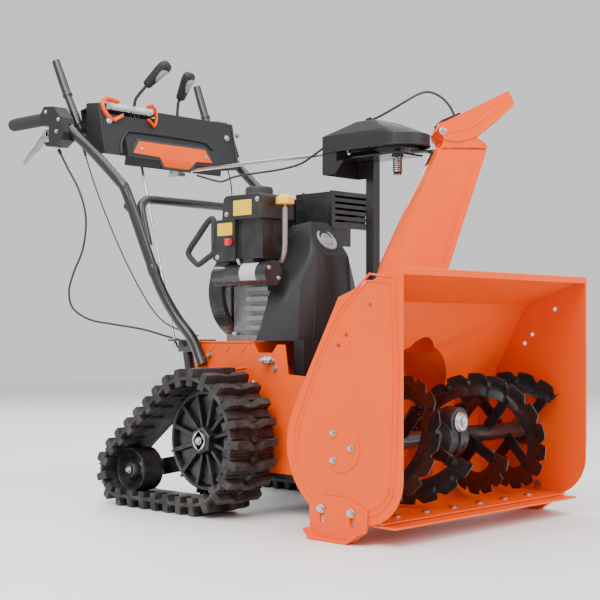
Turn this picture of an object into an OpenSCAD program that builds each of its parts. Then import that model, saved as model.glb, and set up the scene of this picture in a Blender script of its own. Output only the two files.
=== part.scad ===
// Two stage snowblower on rubber tracks, in millimetres.
// +Z is up, the intake faces -Y, and the operator stands at +Y with the right hand at -X.
// Distances "back" are measured along +Y from the front edge of the intake.

/* [Intake] */
// Outside width of the intake housing
intake_w = 635; // [620:1:650]
// Height of the intake's front edge above the ground
intake_h = 517; // [510:1:530]
// Thickness of the housing's sheet steel
sheet = 3; // [2:0.5:4]
// Outer radius of the auger flights
auger_r = 130; // [120:1:131]
// Distance of the auger shaft behind the front edge
auger_back = 150; // [145:1:155]
// Height of the auger shaft
auger_z = 180; // [178:1:184]

/* [Impeller and chute] */
// Inner radius of the impeller drum
drum_r = 158; // [155:1:160]
// Height of the impeller shaft
impeller_z = 213; // [211:1:215]
// Distance of the chute's turning axis behind the front edge
chute_back = 270; // [266:1:274]
// Turn of the chute at rest, towards the operator's left
chute_turn = 45; // [0:1:90]
// Half of the chute's width
chute_half_w = 62; // [58:1:64]

/* [Tracks] */
// Distance of the drive axle behind the front edge
axle_back = 615; // [612:1:618]
// Radius over the tread at the drive wheel, which is also the axle's height
tread_r = 160; // [158:1:162]
// Radius over the tread at the idler, which is also the idler's height
idler_tread_r = 79; // [78:1:80]
// Distance from the drive axle back to the idler
wheelbase = 240; // [236:1:244]
// Width of each track
track_w = 130; // [124:1:132]
// Distance from the middle of the machine to a track's inner edge
track_in = 170; // [170:1:172]
// Height of the tread bars
lug_h = 19; // [17:1:20]
// Number of tread bars round each track
lug_count = 28; // [24:1:30]

/* [Controls] */
// Radius of the handlebar tubes
tube_r = 12.5; // [11:0.5:13.5]
// Half of the distance between the two hand grips
grip_x = 270; // [268:1:275]
// Height of the hand grips
grip_z = 925; // [922:1:930]
// Half of the dash panel's width
dash_half_w = 224; // [220:1:226]

/* [Hidden] */
$fn = 48;

// Y of the intake's front edge: the origin is below the middle of the whole machine
front_y = -660;

// Turning axes, as [back, height]
auger_at = [auger_back, auger_z];
axle_at = [axle_back, tread_r];
idler_at = [axle_back + wheelbase, idler_tread_r];
crank_z = 490;
hex_at = [690, 262];
disc_z = 262;
friction_r = 30;
disc_y = hex_at[0] - friction_r - 0.6;
auger_belt_y = 495;
drive_belt_y = 523;
wheel_out = 262;
chain_x = 100;
chain_big = 48;
chain_small = 20;
clutch_at = [1090, 893];
trigger_at = [1156, 886];

// Outline of the housing seen from the side: top edge, bend of the back wall, then round the auger
top_front = [0, intake_h - 3];
wall_bend = [155, 461];
wall_low = [262, 266];
barrel_r = 139.5;
floor_front = 50;
plate_corner_r = 90;
plate_bottom = 37;
plate_x = intake_w / 2 - sheet;

// Chute sections from the ring up, as [height, back edge, fold line, front edge], measured along the
// way the chute points
chute_sections = [[446, -66, -30, 66], [545, -36, 2, 102], [665, 18, 33, 141], [785, 76, 82, 180]];
chute_t = 2.5;
ring_z = 424;

// Carcass of a track
carcass_t = 8;
loop_angle = atan2(idler_tread_r - tread_r, wheelbase)
             + acos((tread_r - idler_tread_r) / norm([wheelbase, tread_r - idler_tread_r]));

// Centre lines of the tubes on the right-hand side, as [x, back, height]
handle_path = [[-163, 712, 322], [-163.5, 728, 354], [-168, 746, 386], [-180, 781, 430], [-195, 815, 490],
               [-208, 842, 560], [-226, 873, 660], [-238, 896, 728], [-243, 915, 753],
               [-249, 1019, 838], [-262, 1080, 888], [-268, 1118, 912], [-270, 1150, 925],
               [-270, 1160, 925], [-270, 1300, 925]];
hoop_path = [[-190, 872, 600], [-194, 890, 672], [-190, 897, 698], [-174, 901, 711], [-150, 902, 714],
             [150, 902, 714], [174, 901, 711], [190, 897, 698], [194, 890, 672], [190, 872, 600]];
speed_top = [-88, 1030, 840];
speed_low = [-130, 846, 372];

// Centre lines of the sheathed cables, as [x, back, height]
lock_cable_path = [[-262, 1128, 845], [-262, 1094, 800], [-258, 1050, 738], [-252, 1032, 672],
                   [-250, 1046, 600], [-250, 1085, 540], [-246, 1108, 496], [-236, 1106, 456],
                   [-216, 1066, 428], [-186, 1010, 416], [-150, 944, 404], [-120, 884, 386],
                   [-102, 858, 378]];
clutch_cable_path = [[-240, 1062, 852], [-228, 1010, 720], [-208, 930, 560], [-186, 850, 440],
                     [-160, 790, 400], [-128, 764, 388]];
auger_cable_path = [[240, 1062, 852], [226, 1026, 770], [150, 960, 640], [110, 860, 470],
                    [80, 790, 400], [70, 766, 388]];
deflector_cable_path = [[70, 990, 800], [66, 960, 792], [58, 888, 775], [54, 834, 782], [50, 740, 784],
                        [48, 672, 785], [28, 588, 788], [18, 535, 802], [14, 452, 837], [4, 388, 856],
                        [-2, 326, 863], [7, 264, 887], [30, 240, 906], [47, 223, 912], [65, 205, 902],
                        [79, 191, 882], [86, 184, 862]];
cable_r = 2.5;

steel_black = [0.06, 0.06, 0.065];
plastic_grey = [0.2, 0.2, 0.21];
powder_orange = [1, 0.42, 0.05];
rubber_black = [0.1, 0.1, 0.1];
zinc = [0.75, 0.76, 0.78];
cast_grey = [0.55, 0.56, 0.58];

// ---------- helpers ----------

// Places children in distances back from the intake's front edge
module from_front() { translate([0, front_y, 0]) children(); }

// Draws the children on one side and mirrored on the other
module both_sides() { children(); mirror([1, 0, 0]) children(); }

// Extrudes a side view, drawn as [back, height], across the machine from x0 to x1
module across(x0, x1) {
  translate([x0, 0, 0]) rotate([90, 0, 90]) linear_extrude(x1 - x0) children();
}

// A cylinder along X through a [back, height] point
module axle(at, x0, x1, r) { translate([x0, at[0], at[1]]) rotate([0, 90, 0]) cylinder(r = r, h = x1 - x0); }

// A cylinder along Y at a given x and height
module along_y(x, z, y0, y1, r) { translate([x, y0, z]) rotate([-90, 0, 0]) cylinder(r = r, h = y1 - y0); }

// A straight round bar from p to q
module bar(p, q, r) {
  v = q - p;
  translate(p) rotate([0, acos(v[2] / norm(v)), atan2(v[1], v[0])]) cylinder(r = r, h = norm(v));
}

// A block between two corners
module block(low, high) { translate(low) cube(high - low); }

function arc(c, r, a0, a1, steps) =
  [for (i = [0 : steps]) let (a = a0 + (a1 - a0) * i / steps) [c[0] + r * cos(a), c[1] + r * sin(a)]];

// Points along a smooth curve through a route (Catmull-Rom), "steps" to each of its stretches
function route_point(p, i) = p[max(0, min(len(p) - 1, i))];
function smooth(p, steps) = concat(
  [for (i = [0 : len(p) - 2], k = [0 : steps - 1])
    let (t = k / steps, a = route_point(p, i - 1), b = p[i], c = p[i + 1], d = route_point(p, i + 2))
    0.5 * (2 * b + t * (c - a) + t * t * (2 * a - 5 * b + 4 * c - d) + t * t * t * (3 * b - a - 3 * c + d))],
  [p[len(p) - 1]]);

// A bent tube or a cable: a ring of flat sides swept along a route
module sweep(route, r, steps, sides) {
  p = smooth(route, steps);
  n = len(p);
  function way(i) = let (v = route_point(p, i + 1) - route_point(p, i - 1)) v / norm(v);
  function across_way(i) = let (v = cross(way(i), [1, 0.2, 0.1])) v / norm(v);
  rings = [for (i = [0 : n - 1], k = [0 : sides - 1])
    let (u = across_way(i), w = cross(way(i), u), a = k * 360 / sides) p[i] + r * (cos(a) * u + sin(a) * w)];
  walls = [for (i = [0 : n - 2], k = [0 : sides - 1])
    [i * sides + k, (i + 1) * sides + k, (i + 1) * sides + (k + 1) % sides, i * sides + (k + 1) % sides]];
  ends = [[for (k = [0 : sides - 1]) k], [for (k = [sides - 1 : -1 : 0]) (n - 1) * sides + k]];
  polyhedron(rings, concat(walls, ends));
}

// ---------- intake ----------

function housing_outline(inset) = let (r = barrel_r - inset) concat(
  [[0, top_front[1] - inset], [wall_bend[0] - 0.3 * inset, wall_bend[1] - inset],
   [wall_low[0] - inset, wall_low[1]]],
  arc(auger_at, r, 36, -90, 24),
  [[floor_front, auger_z - r]]);

// The space inside the wrapper, as a closed side view
module inside_outline(inset) {
  polygon(concat(housing_outline(inset), [[-60, auger_z - barrel_r + inset], [-60, top_front[1] - inset]]));
}

module drum_bore() {
  along_y(0, impeller_z, 120, 349, drum_r);
  translate([0, chute_back, 260]) cylinder(r = 77, h = 300);
}

module auger_housing() {
  color(powder_orange) from_front() {
    difference() {
      across(-plate_x, plate_x) difference() {
        polygon(concat(housing_outline(0), [[floor_front, auger_z - barrel_r + sheet]],
                [for (i = [len(housing_outline(sheet)) - 2 : -1 : 0]) housing_outline(sheet)[i]]));
      }
      drum_bore();
      for (x = [-225, -135, -45, 45, 135, 225]) translate([x, 90, 20]) cylinder(r = 4.2, h = 40);
    }
    across(-plate_x, plate_x) polygon([[0, intake_h - 14], [6, intake_h - 14], [6, intake_h - 3], [12, intake_h - 5],
                                       [10, intake_h - 1], [4, intake_h], [0, intake_h - 2]]);
  }
}

function plate_outline() = concat(
  [[0, intake_h], [14, intake_h - 2], [wall_bend[0] + 2, wall_bend[1] + 3], [wall_low[0] + 4, wall_low[1] + 2]],
  arc(auger_at, barrel_r + 3.5, 36, -90, 24),
  arc([plate_corner_r, plate_bottom + plate_corner_r], plate_corner_r, -90, -180, 12));

// One side plate, drawn on the right, with its bearing boss and its holes
module side_plate() {
  difference() {
    union() {
      across(-intake_w / 2, -plate_x) polygon(plate_outline());
      axle(auger_at, -intake_w / 2 - 3, -plate_x, 48);
      block([-intake_w / 2 - 2, 0, 150], [-plate_x, 5, intake_h - 6]);
    }
    axle(auger_at, -intake_w / 2 - 5, -plate_x + 5, 14);
    for (p = [[195, 60], [119, 58]]) axle(p, -intake_w / 2 - 5, -plate_x + 5, 4.6);
    for (p = [[78, 448], [137, 392], [157, 372]])
      translate([-intake_w / 2 - 5, p[0], p[1]]) rotate([45, 0, 0]) translate([0, -4, -4]) cube([15, 8, 8]);
  }
}

module side_plate_right() { color(powder_orange) from_front() side_plate(); }
module side_plate_left() { color(powder_orange) from_front() mirror([1, 0, 0]) side_plate(); }

module impeller_drum() {
  color(powder_orange) from_front() difference() {
    union() {
      along_y(0, impeller_z, 120, 352, drum_r + sheet);
      translate([0, chute_back, 260]) cylinder(r = 80, h = ring_z - 260);
      translate([0, chute_back, ring_z - 5]) cylinder(r = 96, h = 5);
      block([28, 352, 330], [62, 366, 372]);
    }
    drum_bore();
    along_y(0, impeller_z, 340, 380, 20.05);
    across(-400, 400) inside_outline(-0.02);
    translate([0, 0, impeller_z]) rotate([-90, 0, 0]) cylinder(r = drum_r, h = 300);
  }
  color(powder_orange) from_front() difference() {
    along_y(0, impeller_z, 352, 360, 34);
    along_y(0, impeller_z, 350, 362, 9.55);
  }
}

module scraper_blade() {
  color(powder_orange) from_front() difference() {
    across(-plate_x + 1, plate_x - 1) polygon([[22, 34], [120, 36.4], [120, 40.4], [22, 38]]);
    for (x = [-225, -135, -45, 45, 135, 225]) translate([x, 90, 20]) cylinder(r = 4.2, h = 40);
  }
}

// One skid shoe: a slotted plate with a foot turned out, drawn on the right
module skid_shoe() {
  x = -intake_w / 2 - 0.4;
  difference() {
    across(x - 4, x) polygon([[80, 64], [106, 74], [126, 84], [196, 86], [222, 74], [228, 60], [228, 22],
                              [214, 4], [120, 0], [84, 24]]);
    for (p = [[195, 60], [119, 58]]) {
      block([x - 6, p[0] - 5.2, p[1] - 23], [x + 2, p[0] + 5.2, p[1]]);
      axle(p, x - 6, x + 2, 5.2);
      axle([p[0], p[1] - 23], x - 6, x + 2, 5.2);
    }
  }
  across(x - 20, x - 3.9) polygon([[84, 24], [122, 0], [214, 0], [232, 18], [229, 21], [212, 4], [124, 4], [87, 28]]);
}

module skid_shoe_right() { color(powder_orange) from_front() skid_shoe(); }
module skid_shoe_left() { color(powder_orange) from_front() mirror([1, 0, 0]) skid_shoe(); }

module auger_gearbox() {
  color(steel_black) from_front() difference() {
    union() {
      axle(auger_at, -34, 34, 46);
      axle(auger_at, -46, 46, 24);
      along_y(0, impeller_z, 104, 226, 27);
    }
    axle(auger_at, -28, 28, 30);
    axle(auger_at, -50, 50, 12.05);
    along_y(0, impeller_z, 110, 230, 9.55);
    along_y(0, impeller_z, 130, 172, 14);
  }
  color(zinc) from_front() along_y(0, impeller_z, 96, 104, 21);
}

module auger_bearings() {
  color(zinc) from_front() both_sides() difference() {
    axle(auger_at, -plate_x, -plate_x + 12, 36);
    axle(auger_at, -plate_x - 2, -plate_x + 14, 12.05);
  }
}

module auger_shaft() {
  color(zinc) from_front() {
    axle(auger_at, -intake_w / 2 - 1, intake_w / 2 + 1, 12);
    axle(auger_at, -11, 11, 22);
  }
}

// One serrated ribbon: a thin blade wound once round the shaft, from x0 to x1
module ribbon(x0, x1, start, turn) {
  steps = 48;
  inner = 84;
  rings = [for (i = [0 : steps]) let (a = start + turn * i / steps, x = x0 + (x1 - x0) * i / steps,
                                      outer = auger_r - (i % 4 == 3 ? 9 : 0))
    for (q = [[inner, -1.6], [outer, -1.6], [outer, 1.6], [inner, 1.6]])
      [x + q[1], auger_back + q[0] * cos(a), auger_z + q[0] * sin(a)]];
  walls = [for (i = [0 : steps - 1], k = [0 : 3], half = [0, 1])
    let (a = i * 4 + k, b = i * 4 + (k + 1) % 4) half == 0 ? [a, b, b + 4] : [a, b + 4, a + 4]];
  polyhedron(rings, concat(walls, [[3, 2, 1, 0], [for (k = [0 : 3]) steps * 4 + k]]));
}

// The auger on one side: a tube, two ribbons and their arms, drawn on the left (+X)
module auger() {
  difference() {
    axle(auger_at, 50, 296, 18);
    axle(auger_at, 40, 310, 12.05);
  }
  for (start = [20, 200]) {
    ribbon(62, 292, start, 300);
    for (f = [0.03, 0.36, 0.69, 0.97]) {
      a = start + 300 * f;
      x = 62 + 230 * f;
      translate([x, auger_back, auger_z]) rotate([a, 0, 0]) block([-2.5, 14, -11], [2.5, 92, 11]);
    }
  }
}

module auger_right() { color(steel_black) from_front() mirror([1, 0, 0]) auger(); }
module auger_left() { color(steel_black) from_front() auger(); }

module impeller() {
  color(steel_black) from_front() {
    difference() {
      along_y(0, impeller_z, 296, 344, 24);
      along_y(0, impeller_z, 290, 350, 9.55);
    }
    for (a = [20 : 90 : 290]) translate([0, 0, impeller_z]) rotate([0, a, 0]) {
      block([20, 297, -3], [138, 343, 3]);
      translate([134, 298, -2.2]) rotate([0, -24, 0]) cube([16, 44, 5]);
    }
  }
}

// A V-belt pulley on a Y axis, "r" to the bottom of its groove
module pulley(z, r, y) {
  along_y(0, z, y - 7.5, y + 7.5, r);
  along_y(0, z, y - 7.5, y - 5.2, r + 9);
  along_y(0, z, y + 5.2, y + 7.5, r + 9);
}

module impeller_shaft() {
  color(zinc) from_front() {
    along_y(0, impeller_z, 112, 510, 9.5);
    along_y(0, impeller_z, 134, 168, 10.5);
    difference() {
      pulley(impeller_z, 90, auger_belt_y);
      for (a = [0 : 60 : 300]) translate([0, 0, impeller_z]) rotate([0, a, 0]) along_y(55, 0, 480, 510, 16);
    }
  }
}

// ---------- chute ----------

// Places children that are drawn along the way the chute points, seen from the side
module chute_frame() { translate([0, chute_back, 0]) rotate([0, 0, chute_turn]) rotate([0, 0, 180]) children(); }

// A side view of the chute drawn as [way it points, height], extruded across it
module chute_across(x0, x1) { chute_frame() across(x0, x1) children(); }

// One level of the chute's sheet: round its outside, then back round its inside
function chute_level(s) = let (w = chute_half_w, v = w - chute_t)
  [[-w, s[3]], [-w, s[2]], [-w * 0.5, s[1]], [w * 0.5, s[1]], [w, s[2]], [w, s[3]],
   [v, s[3]], [v, s[2] + 1], [v * 0.5, s[1] + chute_t], [-v * 0.5, s[1] + chute_t], [-v, s[2] + 1], [-v, s[3]]];

// The sheet of the chute, lofted from its foot to its top
module chute_sheet() {
  n = 12;
  last = len(chute_sections) - 1;
  rings = [for (s = chute_sections, p = chute_level(s)) [p[0], p[1], s[0]]];
  walls = [for (i = [0 : last - 1], k = [0 : n - 1], half = [0, 1])
    let (a = i * n + k, b = i * n + (k + 1) % n) half == 0 ? [a, b + n, b] : [a, a + n, b + n]];
  strips = [[0, 1, 10, 11], [1, 2, 9, 10], [2, 3, 8, 9], [3, 4, 7, 8], [4, 5, 6, 7]];
  foot = [for (q = strips) q];
  top = [for (q = strips) [for (k = [3 : -1 : 0]) last * n + q[k]]];
  polyhedron(rings, concat(walls, foot, top));
}

module chute() {
  color(powder_orange) from_front() {
    chute_frame() chute_sheet();
    difference() {
      translate([0, chute_back, ring_z + 0.4]) cylinder(r = 92, h = 3);
      translate([0, chute_back, ring_z - 1]) cylinder(r = 72, h = 40);
    }
    difference() {
      translate([0, chute_back, ring_z + 0.4]) cylinder(r = 75, h = 26);
      translate([0, chute_back, ring_z - 1]) cylinder(r = 72, h = 40);
    }
    chute_across(-chute_half_w + 1, chute_half_w - 1) polygon([[77, 780], [80, 780], [96, 806], [93, 810], [88, 808]]);
    for (x = [-chute_half_w + 0.2, chute_half_w - chute_t - 0.2]) chute_frame() across(x, x + chute_t)
      polygon([[83, 778], [176, 778], [176, 786], [156, 806], [94, 810]]);
  }
}

module chute_arm() {
  color(powder_orange) from_front() {
    difference() {
      translate([0, chute_back, 786]) cylinder(r = 46, h = 6);
      translate([0, chute_back, 780]) cylinder(r = 6.05, h = 20);
      for (k = [0 : 31]) translate([0, chute_back, 780]) rotate([0, 0, k * 11.25]) translate([46.5, 0, 0]) rotate([0, 0, 45]) cube([4, 4, 40], center = true);
    }
    chute_frame() block([-13, 30, 782], [13, 74, 786.2]);
    chute_across(-26, 26) polygon([[75.4, 786], [72, 786], [57.6, 756], [60.8, 756]]);
  }
}

module deflector() {
  w = chute_half_w + 0.6;
  color(powder_orange) from_front() {
    for (side = [-1, 1]) chute_frame() across(side > 0 ? w : -w - 2.5, side > 0 ? w + 2.5 : -w) difference() {
      polygon([[78, 826], [84, 834], [226, 903], [238, 881], [232, 868], [208, 847], [156, 806], [120, 796], [92, 800]]);
      translate([88, 818]) circle(3.6);
    }
    chute_across(-w - 2.5, w + 2.5) polygon([[78, 826], [84, 834], [226, 903], [227, 900.4], [86, 831.4], [80.5, 825]]);
    for (side = [-1, 1]) chute_frame() across(side > 0 ? 30 : -42, side > 0 ? 42 : -30)
      polygon([[78, 828], [82, 838], [96, 842], [100, 840], [84, 834]]);
  }
}

module chute_post() {
  color(steel_black) from_front() {
    difference() {
      block([34, 366.4, 300], [56, 388.4, 776]);
      block([36.5, 368.9, 290], [53.5, 385.9, 780]);
      axle([377, 640], 30, 60, 4);
    }
    block([20, 388.4, 330], [72, 392, 372]);
    difference() {
      block([-30, 246, 776], [57, 396, 780]);
      translate([0, chute_back, 770]) cylinder(r = 6.05, h = 20);
    }
    along_y(45, 425, 360.2, 366.4, 12);
    detent_spring();
  }
}

// The cover over the chute's gear: a shell with a high back and a low nose
module gear_cover() {
  module skin(t) {
    hull() {
      block([-58 + t, 262 + t, 790 - t], [58 - t, 350 - t, 828 - t]);
      block([-58 + t, 372 + t, 790 - t], [62 - t, 436 - t, 826 - t]);
      block([-42 + t, 300 + t, 800], [42 - t, 350 - t, 852 - t]);
      translate([0, 256, 790 - t]) cylinder(r = 58 - t, h = 26 + t / 2);
    }
  }
  color(plastic_grey) from_front() {
    difference() {
      union() {
        skin(0);
        hull() {
          block([-58, 400, 742], [62, 436, 800]);
          block([-58, 356, 792], [62, 380, 800]);
        }
      }
      skin(3);
      hull() {
        block([-55, 396, 730], [59, 433, 800]);
        block([-55, 340, 786], [59, 380, 800]);
      }
      block([-80, 180, 770], [100, 395, 790.2]);
      along_y(28, 802, 420, 450, 7);
    }
  }
}

// The pivot bolt under the chute's gear, with its spring
module detent_spring() {
  color(zinc) {
    translate([0, chute_back, 738]) cylinder(r = 6, h = 56);
    translate([0, chute_back, 734]) cylinder(r = 9, h = 4);
    translate([0, chute_back, 772]) cylinder(r = 13, h = 4);
    for (k = [0 : 6]) translate([0, chute_back, 740 + k * 4.6]) rotate_extrude() translate([8.6, 0]) circle(r = 1.5, $fn = 16);
  }
}

// The rod from the dash to the chute's gear, with its pinion and the yoke that holds the chute lever
rod_front = [22, 300, 801];
rod_rear = [55, 1036, 812];
module chute_rod() {
  color(zinc) from_front() {
    bar(rod_front, rod_rear, 4);
    bar(rod_front, rod_front + 18 * (rod_rear - rod_front) / norm(rod_rear - rod_front), 8.5);
    difference() {
      block([43, 1034, 800], [67, 1070, 824]);
      block([46.5, 1040, 802], [63.5, 1080, 830]);
      axle([1060, 812], 40, 70, 3.05);
    }
  }
}

module chute_lever() {
  color(steel_black) from_front() {
    difference() {
      union() {
        block([50, 1052, 804], [60, 1068, 822]);
        bar([55, 1060, 812], [55, 1049, 986], 4);
        bar([55, 1049.6, 983], [55, 1040, 1004], 4.2);
      }
      axle([1060, 812], 40, 70, 3.05);
    }
    bar([55, 1043, 998], [55, 1028, 1019], 8);
    bar([55, 1030, 1016], [55, 1008, 1050], 13);
    bar([55, 1012, 1044.5], [55, 998, 1065], 16.5);
  }
  color(zinc) from_front() axle([1060, 812], 43, 67, 3);
}

module speed_lever() {
  color(steel_black) from_front() {
    difference() {
      union() {
        axle([1060, 862], -96, -80, 12);
        bar([-88, 1060, 862], [-88, 1048, 980], 4);
        bar([-88.3, 1049, 979], [-75, 1010, 1020], 4.2);
        bar([-88, 1060, 862], [-88, 1034, 850], 5);
      }
      axle([1060, 862], -100, -70, 5.05);
    }
    bar([-77, 1014, 1016], [-72, 1003, 1028], 8);
    bar([-72, 1003, 1028], [-56, 974, 1058], 13);
    bar([-60, 982, 1050], [-49, 961, 1071], 16.5);
  }
}

module speed_rod() {
  color(zinc) from_front() {
    bar(speed_top, speed_low, 3.5);
    bar(speed_low, speed_low + [0, -6, -14], 5);
  }
}

// ---------- dash and handlebars ----------

dash_side = [[996, 828], [1023, 953], [1060, 957], [1116, 948], [1102, 866], [1060, 832]];
module dash_panel() {
  color(plastic_grey) from_front() {
    difference() {
      across(-dash_half_w, dash_half_w) polygon(dash_side);
      across(-dash_half_w + 3, dash_half_w - 3)
        polygon([[1001, 820], [1026, 949], [1060, 953.5], [1112, 945], [1099, 866], [1062, 820]]);
      block([-97, 1028, 940], [-79, 1096, 970]);
      block([-5, 1034, 940], [84, 1094, 970]);
      block([-211, 980, 929.5], [-45, 1030.5, 970]);
      block([-240, 1068, 826], [-206, 1130, 960]);
      block([206, 1068, 826], [240, 1130, 960]);
    }
    difference() {
      across(-160, 150) polygon([[996, 828], [1006, 872], [992, 868], [984, 826], [988, 804], [1000, 806]]);
      along_y(53.4, 811.4, 970, 1020, 9);
    }
    for (x = [-74, -102]) axle([1060, 862], x - 3, x + 3, 16);
    for (x = [-74, -102]) block([x - 3, 1048, 862], [x + 3, 1072, 954]);
  }
  color(zinc) from_front() axle([1060, 862], -105, -71, 5);
  color(powder_orange) from_front() {
    across(-146, 118) polygon([[982.4, 824], [984, 826], [992, 866], [990.4, 866]]);
  }
}

module headlight() {
  color([0.85, 0.87, 0.9]) from_front() {
    axle([1016, 948], -196, -62, 9);
  }
  color(powder_orange) from_front() for (x = [-210, -58]) block([x, 1000, 930], [x + 12, 1030, 962]);
}

module handlebars() { color(steel_black) from_front() both_sides() sweep(handle_path, tube_r, 2, 16); }
module handle_hoop() { color(steel_black) from_front() sweep(hoop_path, 11, 2, 14); }

module grips() {
  color(rubber_black) from_front() both_sides() difference() {
    union() {
      along_y(-grip_x, grip_z, 1172, 1312, 16);
      along_y(-grip_x, grip_z, 1304, 1320, 14);
      along_y(-grip_x, grip_z, 1166, 1178, 18);
    }
    along_y(-grip_x, grip_z, 1150, 1301, tube_r + 0.02);
  }
}

// The plastic housings that carry the clutch levers in front of the grips
module lever_mounts() {
  color(plastic_grey) from_front() both_sides() difference() {
    across(-292, -253) polygon([[1076, 862], [1066, 880], [1082, 918], [1108, 946], [1148, 950], [1163, 934],
                                [1163, 880], [1140, 852], [1104, 848]]);
    bar([-250, 1025, 843], [-264, 1088, 894], tube_r + 2.5);
    bar([-261, 1076, 885], [-269, 1124, 916], tube_r + 2.5);
    bar([-267.2, 1111, 910.4], [-269.8, 1157, 927.2], tube_r + 2.7);
    along_y(-grip_x, grip_z, 1150, 1170, tube_r + 2);
    block([-300, 1128, 862], [-264, 1170, 904]);
  }
  color(zinc) from_front() {
    both_sides() axle(clutch_at, -249, -210, 6);
    axle(trigger_at, -284, -263, 4);
  }
}

// The right-hand clutch lever, standing up at rest and squeezed down beside its grip
module clutch_lever() {
  difference() {
    union() {
      axle(clutch_at, -238, -214, 17);
      bar([-226, 1090, 893], [-228, 1112, 938], 11);
      bar([-227.6, 1108, 930], [-236, 1178, 1076], 12);
    }
    axle(clutch_at, -260, -200, 6.05);
  }
}

module clutch_lever_right() { color(steel_black) from_front() clutch_lever(); }
module clutch_lever_left() { color(steel_black) from_front() mirror([1, 0, 0]) clutch_lever(); }

// The alloy trigger under the right grip that frees the tracks' tilt
module lock_trigger() {
  color(zinc) from_front() difference() {
    union() {
      axle(trigger_at, -280, -268, 10);
      across(-279, -269) polygon([[1150, 892], [1164, 892], [1196, 866], [1228, 850], [1252, 832], [1262, 826],
                                  [1258, 818], [1240, 822], [1216, 838], [1180, 852], [1150, 870]]);
    }
    axle(trigger_at, -300, -260, 4.05);
  }
}

module control_cables() {
  color(rubber_black) from_front() {
    sweep(lock_cable_path, cable_r, 4, 8);
    sweep(clutch_cable_path, 1.6, 5, 8);
    sweep(auger_cable_path, 1.6, 5, 8);
  }
}

module deflector_cable() { color(rubber_black) from_front() sweep(deflector_cable_path, cable_r, 4, 8); }

// ---------- frame and drive ----------

module tractor_frame() {
  side = [[360.2, 90], [640, 90], [752, 300], [752, 376], [560, 376], [545, 352], [500, 352], [484, 370],
          [462, 370], [452, 306], [360.2, 300]];
  color(powder_orange) from_front() difference() {
    union() {
      both_sides() across(-150, -147) polygon(side);
      block([-147, 560, 373], [147, 749, 376]);
      block([-147, 749, 300], [147, 752, 376]);
      block([-147, 360.2, 90], [147, 363.2, 300]);
      block([-147, 560, 200], [147, 564, 374]);
    }
    both_sides() axle(axle_at, -160, -140, 16.05);
    both_sides() axle(hex_at, -160, -140, 10.05);
    along_y(0, disc_z, 550, 570, 10.05);
    along_y(0, impeller_z, 350, 400, 36);
    block([-60, 600, 370], [60, 700, 380]);
    for (x = [-85, 85], y = [585, 685]) translate([x, y, 360]) cylinder(r = 4.3, h = 20);
  }
}

module belly_pan() {
  color(steel_black) from_front() difference() {
    across(-146.8, 146.8) polygon([[352, 84], [640, 84], [706, 206], [702, 206], [637, 87], [352, 87]]);
    block([-170, 340, 70], [170, 363.6, 86.9]);
  }
}

// The belt cover: a faceted shell in front of the engine
module belt_cover() {
  module skin(t) {
    hull() {
      translate([0, 550 + (t > 0 ? 2 : 0), 0]) rotate([90, 0, 0]) linear_extrude(0.02)
        polygon([[-150 + t, 378], [-98 + t, 492], [-65 + t, 570], [-59 + t, 603 - t], [-30, 640 - t], [30, 640 - t],
                 [59 - t, 603 - t], [65 - t, 570], [98 - t, 492], [150 - t, 378]]);
      translate([0, 470 + t, 0]) rotate([90, 0, 0]) linear_extrude(0.02)
        polygon([[-100 + t, 378], [-92 + t, 500], [-60 + t, 580 - t], [60 - t, 580 - t], [92 - t, 500], [100 - t, 378]]);
      translate([0, 455 + t, 0]) rotate([90, 0, 0]) linear_extrude(0.02)
        polygon([[-66 + t, 378], [-50 + t, 570 - t], [50 - t, 570 - t], [66 - t, 378]]);
      block([-28, 498 + t, 640 - t], [28, 500 + t, 646 - t]);
    }
  }
  color(plastic_grey) from_front() {
    difference() {
      skin(0);
      skin(3);
      translate([0, 0, 377]) cube([400, 2000, 2], center = true);
    }
    difference() {
      block([-112, 440, 302], [112, 470, 379.5]);
      block([-109, 443, 300], [109, 480, 381]);
    }
    difference() {
      block([-112, 467, 376], [112, 472, 379.5]);
      block([-97, 460, 370], [97, 480, 385]);
    }
  }
}

// Two V-belts from the crankshaft, to the impeller and to the friction disc, and the chain to the axle
module belts_and_chain() {
  module loop(z1, r0, r1, y) {
    translate([0, y + 4.5, 0]) rotate([90, 0, 0]) linear_extrude(9) difference() {
      hull() { translate([0, crank_z]) circle(r0 + 8); translate([0, z1]) circle(r1 + 8); }
      hull() { translate([0, crank_z]) circle(r0 + 0.6); translate([0, z1]) circle(r1 + 0.6); }
    }
  }
  color(rubber_black) from_front() {
    loop(impeller_z, 30, 90, auger_belt_y);
    loop(disc_z, 26, 38, drive_belt_y);
  }
  color(zinc) from_front() across(chain_x, chain_x + 6) difference() {
    hull() { translate(axle_at) circle(chain_big + 4.6); translate(hex_at) circle(chain_small + 4.6); }
    hull() { translate(axle_at) circle(chain_big + 0.6); translate(hex_at) circle(chain_small + 0.6); }
  }
}

module drive_disc() {
  color(cast_grey) from_front() {
    pulley(disc_z, 38, drive_belt_y);
    along_y(0, disc_z, drive_belt_y - 8, disc_y - 9, 10);
    along_y(0, disc_z, disc_y - 9, disc_y, 72);
  }
}

module friction_wheel() {
  color(rubber_black) from_front() translate([-35, 0, 0]) difference() {
    union() { axle(hex_at, -8, 8, friction_r); axle(hex_at, -14, 14, 17); }
    axle(hex_at, -20, 20, 10.05);
  }
}

// The cross shaft that the friction wheel slides on, with the chain's small sprocket
module hex_shaft() {
  color(zinc) from_front() {
    axle(hex_at, -151, 151, 10);
    axle(hex_at, chain_x, chain_x + 6, chain_small);
  }
}

module drive_axle() {
  color(zinc) from_front() {
    axle(axle_at, -wheel_out + 3, wheel_out - 3, 12);
    axle(axle_at, chain_x, chain_x + 6, chain_big);
    both_sides() axle(axle_at, -wheel_out, -wheel_out + 4, 20);
  }
}

// ---------- tracks ----------

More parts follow.
